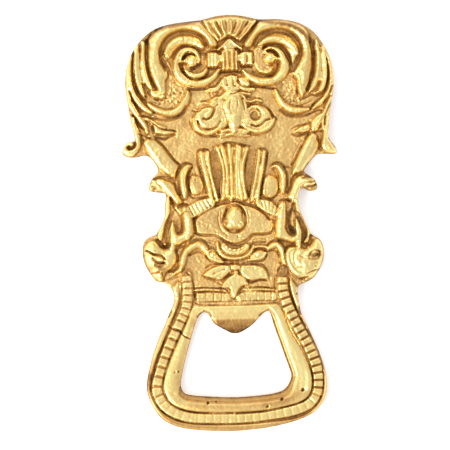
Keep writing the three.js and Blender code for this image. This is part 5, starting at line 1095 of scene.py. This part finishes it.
def withoutPinches(labels):
    # Where two cells of a label touch only at a corner, the cell between them joins it.
    for _ in range(12):  # mending one corner can pinch another
        a, b, c, d = labels[:-1, :-1], labels[:-1, 1:], labels[1:, :-1], labels[1:, 1:]
        rising = (a == d) & (b != a) & (c != a)
        falling = (b == c) & (a != b) & (d != b) & ~rising
        if not (rising.any() or falling.any()):
            break
        right = labels[:-1, 1:].copy()
        right[rising] = a[rising]
        left = labels[:-1, :-1].copy()
        left[falling] = b[falling]
        changed = labels.copy()
        changed[:-1, 1:] = np.where(rising, right, changed[:-1, 1:])
        changed[:-1, :-1] = np.where(falling, left, changed[:-1, :-1])
        labels = changed
    return labels


solid = atCentres(edge) > 0
ownerCells = np.where(atCentres(reach) > -casting["creep"], owner[:-1, :-1], 0)
labels = withoutPinches(np.where(solid, ownerCells + 1, 0))
solid = labels > 0
baseCells = np.where(solid, baseOf(), 0)
onMotif = np.where(solid, labels - 1, 0)


def cellsAround(mask):
    # How many of the four cells round each point are in the mask.
    full = np.pad(mask, 1).astype(int)
    return full[:-1, :-1] + full[:-1, 1:] + full[1:, :-1] + full[1:, 1:]


onOutline = (cellsAround(solid) > 0) & (cellsAround(solid) < 4)
crowd = casting["crowd"]

# Points on the outline of the metal are pulled onto it, and those near it crowd towards it, so that the
# rounded edge gets enough of them: the new depth is w(1 - cos(pi d / 2w)).
slopeY, slopeX = np.gradient(edge, cell)
steep = np.maximum(np.hypot(slopeX, slopeY), 0.3)
wanted = np.where(edge < crowd, crowd * (1 - np.cos(math.pi * np.clip(edge, 0, crowd) / (2 * crowd))), edge)
wanted = np.where(onOutline, 0, wanted)
move = (edge - wanted) / steep
pointX = gridX - move * slopeX / steep
pointY = gridY - move * slopeY / steep
backDrop = np.clip(1 - wanted / casting["backRound"], 0, 1)
backLevel = casting["backRound"] * (1 - np.sqrt(1 - backDrop ** 2 * 0.98))
seatLevel = np.full(gridX.shape, casting["pocket"])
faceLevel = np.maximum(height, casting["pocket"] + 0.05)
levels = [backLevel, seatLevel, faceLevel]
pointId = np.arange(rows * cols).reshape(rows, cols)
layerSize = rows * cols


def topQuads(mask):
    # A square face over each cell of the mask.
    j, i = np.nonzero(mask)
    return np.stack([pointId[j, i], pointId[j, i + 1], pointId[j + 1, i + 1], pointId[j + 1, i]], 1)


def flatFaces(mask, up):
    # Fills level ground with few faces. Only points on its outline and near the metal's are needed, and each
    # row of cells is a band between two lines of them: a step along either line makes a triangle whose tip is
    # the last needed point on the other line.
    count = cellsAround(mask)
    needed = (count > 0) & ((count < 4) | (edge < crowd))
    latest = np.maximum.accumulate(np.where(needed, np.arange(cols), -1), axis=1)
    before = np.pad(latest[:, :-1], ((0, 0), (1, 0)), constant_values=-1)
    j, i = np.nonzero(mask & needed[:-1, 1:])
    lower = [pointId[j, before[j, i + 1]], pointId[j, i + 1], pointId[j + 1, before[j + 1, i + 1]]]
    j, i = np.nonzero(mask & needed[1:, 1:])
    upper = [pointId[j, latest[j, i + 1]], pointId[j + 1, i + 1], pointId[j + 1, before[j + 1, i + 1]]]
    tris = np.concatenate([np.stack(lower, 1), np.stack(upper, 1)])
    return tris if up else tris[:, ::-1]


def rimEdges(mask):
    # Directed edges round a set of cells, with the cells on their left.
    wide = np.pad(mask, 1)
    here = wide[1:-1, 1:-1]
    sides = [(wide[:-2, 1:-1], (0, 0), (0, 1)), (wide[1:-1, 2:], (0, 1), (1, 1)),
             (wide[2:, 1:-1], (1, 1), (1, 0)), (wide[1:-1, :-2], (1, 0), (0, 0))]
    out = []
    for other, (aj, ai), (bj, bi) in sides:
        j, i = np.nonzero(here & ~other)
        out.append(np.stack([pointId[j + aj, i + ai], pointId[j + bj, i + bi]], 1))
    return np.concatenate(out)


def sideQuads(mask, lower, upper):
    # Upright faces round a set of cells, from one level to the next above it.
    a, b = rimEdges(mask).T
    low, top = lower * layerSize, upper * layerSize
    return np.stack([a + low, b + low, b + top, a + top], 1)


allPoints = np.concatenate([np.stack([pointX, pointY, z], 2).reshape(-1, 3) for z in levels]) * mm
# Patina with its painted shade and highlights for each point: constant on the back and the seats
allPatinaAndShade = np.repeat([tarnishAndShade["back"], tarnishAndShade["seat"]], layerSize)
allPatinaAndShade = np.concatenate([allPatinaAndShade, patina.ravel()])


def addPiece(name, node, smoothQuads, flatQuads, flatTris):
    # Writes the faces as a mesh of the points they use. The relief is smooth, walls and floors are flat.
    quads = np.concatenate([smoothQuads, flatQuads])
    corners = np.concatenate([quads.ravel(), flatTris.ravel()])
    used, index = np.unique(corners, return_inverse=True)
    mesh = bpy.data.meshes.new(name)
    mesh.vertices.add(len(used))
    mesh.vertices.foreach_set("co", allPoints[used].ravel())
    mesh.loops.add(len(corners))
    mesh.loops.foreach_set("vertex_index", index.ravel())
    total = np.concatenate([np.full(len(quads), 4), np.full(len(flatTris), 3)])
    mesh.polygons.add(len(total))
    mesh.polygons.foreach_set("loop_start", np.concatenate([[0], np.cumsum(total)[:-1]]))
    sharp = np.arange(len(total)) >= len(smoothQuads)
    mesh.update(calc_edges=True)
    mesh.attributes.new("sharp_face", "BOOLEAN", "FACE").data.foreach_set("value", sharp)
    mesh.attributes.new("patina", "FLOAT", "POINT").data.foreach_set("value", allPatinaAndShade[used])
    piece = bpy.data.objects.new(name, mesh)
    bpy.context.scene.collection.objects.link(piece)
    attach(piece, "root")
    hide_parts(node)
    return piece


def motifPiece(node):
    # A motif from its seat in the plate's pocket up to the relief.
    mask = onMotif == motifs[node]
    seat = flatFaces(mask, up=False) + layerSize
    return addPiece(node + "_cast", node, topQuads(mask) + 2 * layerSize, sideQuads(mask, 1, 2), seat)


def basePiece(node, number):
    # Plate, loop or tooth: relief where it is bare, a pocket under each motif, and a back with a round edge.
    mine = baseCells == number
    bare = mine & (onMotif == 0)
    pockets = flatFaces(mine & ~bare, up=True) + layerSize
    rounded = atCentres(wanted) < casting["backRound"] + 2 * cell
    back = flatFaces(mine & ~rounded, up=False)
    smooth = [topQuads(bare) + 2 * layerSize, topQuads(mine & rounded)[:, ::-1]]
    sides = np.concatenate([sideQuads(bare, 1, 2), sideQuads(mine, 0, 1)])
    return addPiece(node + "_cast", node, np.concatenate(smooth), sides, np.concatenate([pockets, back]))


class Sum:
    # A socket's value. Operators on it add Math nodes, and numbers alone stay in Python.
    def __init__(self, tree, socket):
        self.tree = tree
        self.socket = socket

    def maths(self, operation, *values):
        sockets = {f"i{i}": value for i, value in enumerate(values)}
        return addNode(self.tree, "ShaderNodeMath", {"operation": operation}, **sockets)

    def __add__(self, other):
        return self.maths("ADD", self, other)

    def __radd__(self, other):
        return self.maths("ADD", other, self)

    def __sub__(self, other):
        return self.maths("SUBTRACT", self, other)

    def __rsub__(self, other):
        return self.maths("SUBTRACT", other, self)

    def __mul__(self, other):
        return self.maths("MULTIPLY", self, other)

    def __rmul__(self, other):
        return self.maths("MULTIPLY", other, self)


def addNode(tree, kind, settings=None, output=0, **sockets):
    # Any node: its settings or a ramp's stops first, then the values or links of its sockets. A socket is
    # named with _ for a space, or numbered as i0, i1 and so on.
    node = tree.nodes.new(kind)
    for name, value in (settings or {}).items():
        if name == "stops":
            setStops(node.color_ramp, value)
        else:
            setattr(node, name, value)
    for name, value in sockets.items():
        slot = node.inputs[int(name[1:]) if name[1:].isdigit() else name.replace("_", " ")]
        if isinstance(value, Sum):
            tree.links.new(value.socket, slot)
        else:
            slot.default_value = value
    return Sum(tree, node.outputs[output]) if node.outputs else None


def setStops(ramp, stops):
    # A ramp starts with two stops, so the others are added before all of them are set.
    for _ in stops[2:]:
        ramp.elements.new(0.5)
    for stop, (position, colour) in zip(ramp.elements, stops):
        stop.position = position
        stop.color = (*colour, 1)


brassFinish = dict(
    stops=[(0.0, (0.99, 0.81, 0.35)), (0.25, (0.92, 0.71, 0.285)), (0.5, (0.73, 0.475, 0.175)),
           (0.75, (0.52, 0.3, 0.098)), (0.92, (0.28, 0.14, 0.042)), (1.0, (0.1, 0.05, 0.02))],
    cloud=0.42,  # how far the patina drifts
    cloudScale=420.0,
    speck=0.3,  # how far it varies from grain to grain
    speckScale=1700.0,
    polish=0.34,  # roughness where it is rubbed
    dulling=0.24,  # how much rougher the tarnish is
    grit=0.12,
    bump=0.7,
    bumpDepth=0.00006,
)


def brass(name, finish):
    # Cast brass: rubbed gold on the tops, orange lower down, and brown in the creases, by the patina with its
    # painted shade and highlights.
    material = bpy.data.materials.new(name)
    material.use_nodes = True
    tree = material.node_tree
    tree.nodes.clear()
    where = addNode(tree, "ShaderNodeTexCoord", output=3)
    # The patina attribute carries painted shade and highlights along with the tarnish
    ageAndShade = addNode(tree, "ShaderNodeAttribute", {"attribute_name": "patina"}, output=2)
    cloud = addNode(tree, "ShaderNodeTexNoise", Vector=where, Scale=finish["cloudScale"], Detail=5.0,
                    Roughness=0.68)
    speck = addNode(tree, "ShaderNodeTexNoise", Vector=where, Scale=finish["speckScale"], Detail=3.0,
                    Roughness=0.7)
    wornAndShaded = ageAndShade + (cloud - 0.5) * finish["cloud"] + (speck - 0.5) * finish["speck"]
    roughness = finish["polish"] + wornAndShaded * finish["dulling"] + (speck - 0.5) * finish["grit"]
    colour = addNode(tree, "ShaderNodeValToRGB", {"stops": finish["stops"]}, i0=wornAndShaded)
    bump = addNode(tree, "ShaderNodeBump", Strength=finish["bump"], Distance=finish["bumpDepth"],
                   Height=speck + cloud * 0.5)
    surface = addNode(tree, "ShaderNodeBsdfPrincipled", Metallic=1.0, Base_Color=colour, Roughness=roughness,
                      Normal=bump)
    addNode(tree, "ShaderNodeOutputMaterial", Surface=surface)
    return material


materials = {
    "relief_brass": brass("reliefBrass", brassFinish),
    "cast_brass": brass("castBrass", {**brassFinish, "polish": 0.38}),
    "tooth_brass": brass("toothBrass", {**brassFinish, "polish": 0.36, "bump": 0.4}),
}
slotOf = {part["node"]: part["material_slot"] for part in frame["record"]["subparts"]}
triangles = 0
for number, node in enumerate([*baseNodes, *motifs], 1):
    piece = basePiece(node, number) if node in baseNodes else motifPiece(node)
    piece.data.materials.append(materials[slotOf[node]])
    count = len(piece.data.loops) - 2 * len(piece.data.polygons)
    triangles += count
    if node in baseNodes:
        print(node, count, "triangles")
print("cast pieces:", number, "with", triangles, "triangles")

studio = dict(
    floor=0.6,  # half the table's width, in metres as everything here
    gap=0.0002,  # the table is this far below the back
    white=0.95,
    glow=0.3,
    sky=0.78,
    keyPanel=(9, 0.45, (-0.6, -0.4, 0.5)),  # power, size and place
    skyPanel=(2.5, 0.6, (-0.25, 0.7, 0.6)),
    eye=(-0.045, -0.004, 0.62),
    aim=(-0.0021, -0.0006, 0.003),
    roll=1.5,  # degrees that the opener is turned in the view
    viewWidth=0.135,
)


def addTable():
    # A plain square, pale and a little bright, just below the back.
    half = studio["floor"]
    corners = ((-half, -half), (half, -half), (half, half), (-half, half))
    mesh = bpy.data.meshes.new("table")
    mesh.from_pydata([(x, y, -studio["gap"]) for x, y in corners], [], [(0, 1, 2, 3)])
    table = bpy.data.objects.new("table", mesh)
    bpy.context.scene.collection.objects.link(table)
    paint = bpy.data.materials.new("tablePaint")
    paint.use_nodes = True
    shader = paint.node_tree.nodes["Principled BSDF"]
    shader.inputs["Base Color"].default_value = (*[studio["white"]] * 3, 1)
    shader.inputs["Roughness"].default_value = 0.9
    shader.inputs["Specular IOR Level"].default_value = 0.1
    shader.inputs["Emission Color"].default_value = (1, 1, 1, 1)
    shader.inputs["Emission Strength"].default_value = studio["glow"]
    mesh.materials.append(paint)


def addPanel(name):
    # A square lamp that looks at the opener.
    power, size, spot = studio[name]
    data = bpy.data.lights.new(name, "AREA")
    data.energy = power
    data.size = size
    panel = bpy.data.objects.new(name, data)
    bpy.context.scene.collection.objects.link(panel)
    panel.location = spot
    panel.rotation_euler = (-Vector(spot)).to_track_quat("-Z", "Y").to_euler()


def addCamera():
    # Looks down from a little to the left, so that the walls that face left just show.
    data = bpy.data.cameras.new("camera")
    camera = bpy.data.objects.new("camera", data)
    bpy.context.scene.collection.objects.link(camera)
    camera.location = studio["eye"]
    away = Vector(studio["eye"]) - Vector(studio["aim"])
    data.sensor_width = 36
    data.lens = data.sensor_width * away.length / studio["viewWidth"]
    turn = math.radians(studio["roll"])
    forward = -away.normalized()
    right = forward.cross(Vector((math.sin(turn), math.cos(turn), 0))).normalized()
    basis = Matrix((right, right.cross(forward), -forward)).transposed()
    camera.rotation_euler = basis.to_euler()
    bpy.context.scene.camera = camera


def addSky():
    # Even white light from all round.
    world = bpy.data.worlds.new("studio")
    bpy.context.scene.world = world
    world.use_nodes = True
    sky = world.node_tree.nodes["Background"]
    sky.inputs[0].default_value = (1, 1, 1, 1)
    sky.inputs[1].default_value = studio["sky"]


addTable()
addPanel("keyPanel")
addPanel("skyPanel")
addCamera()
addSky()
bpy.context.scene.view_settings.view_transform = "Standard"
print("table, lamps, camera and sky placed")
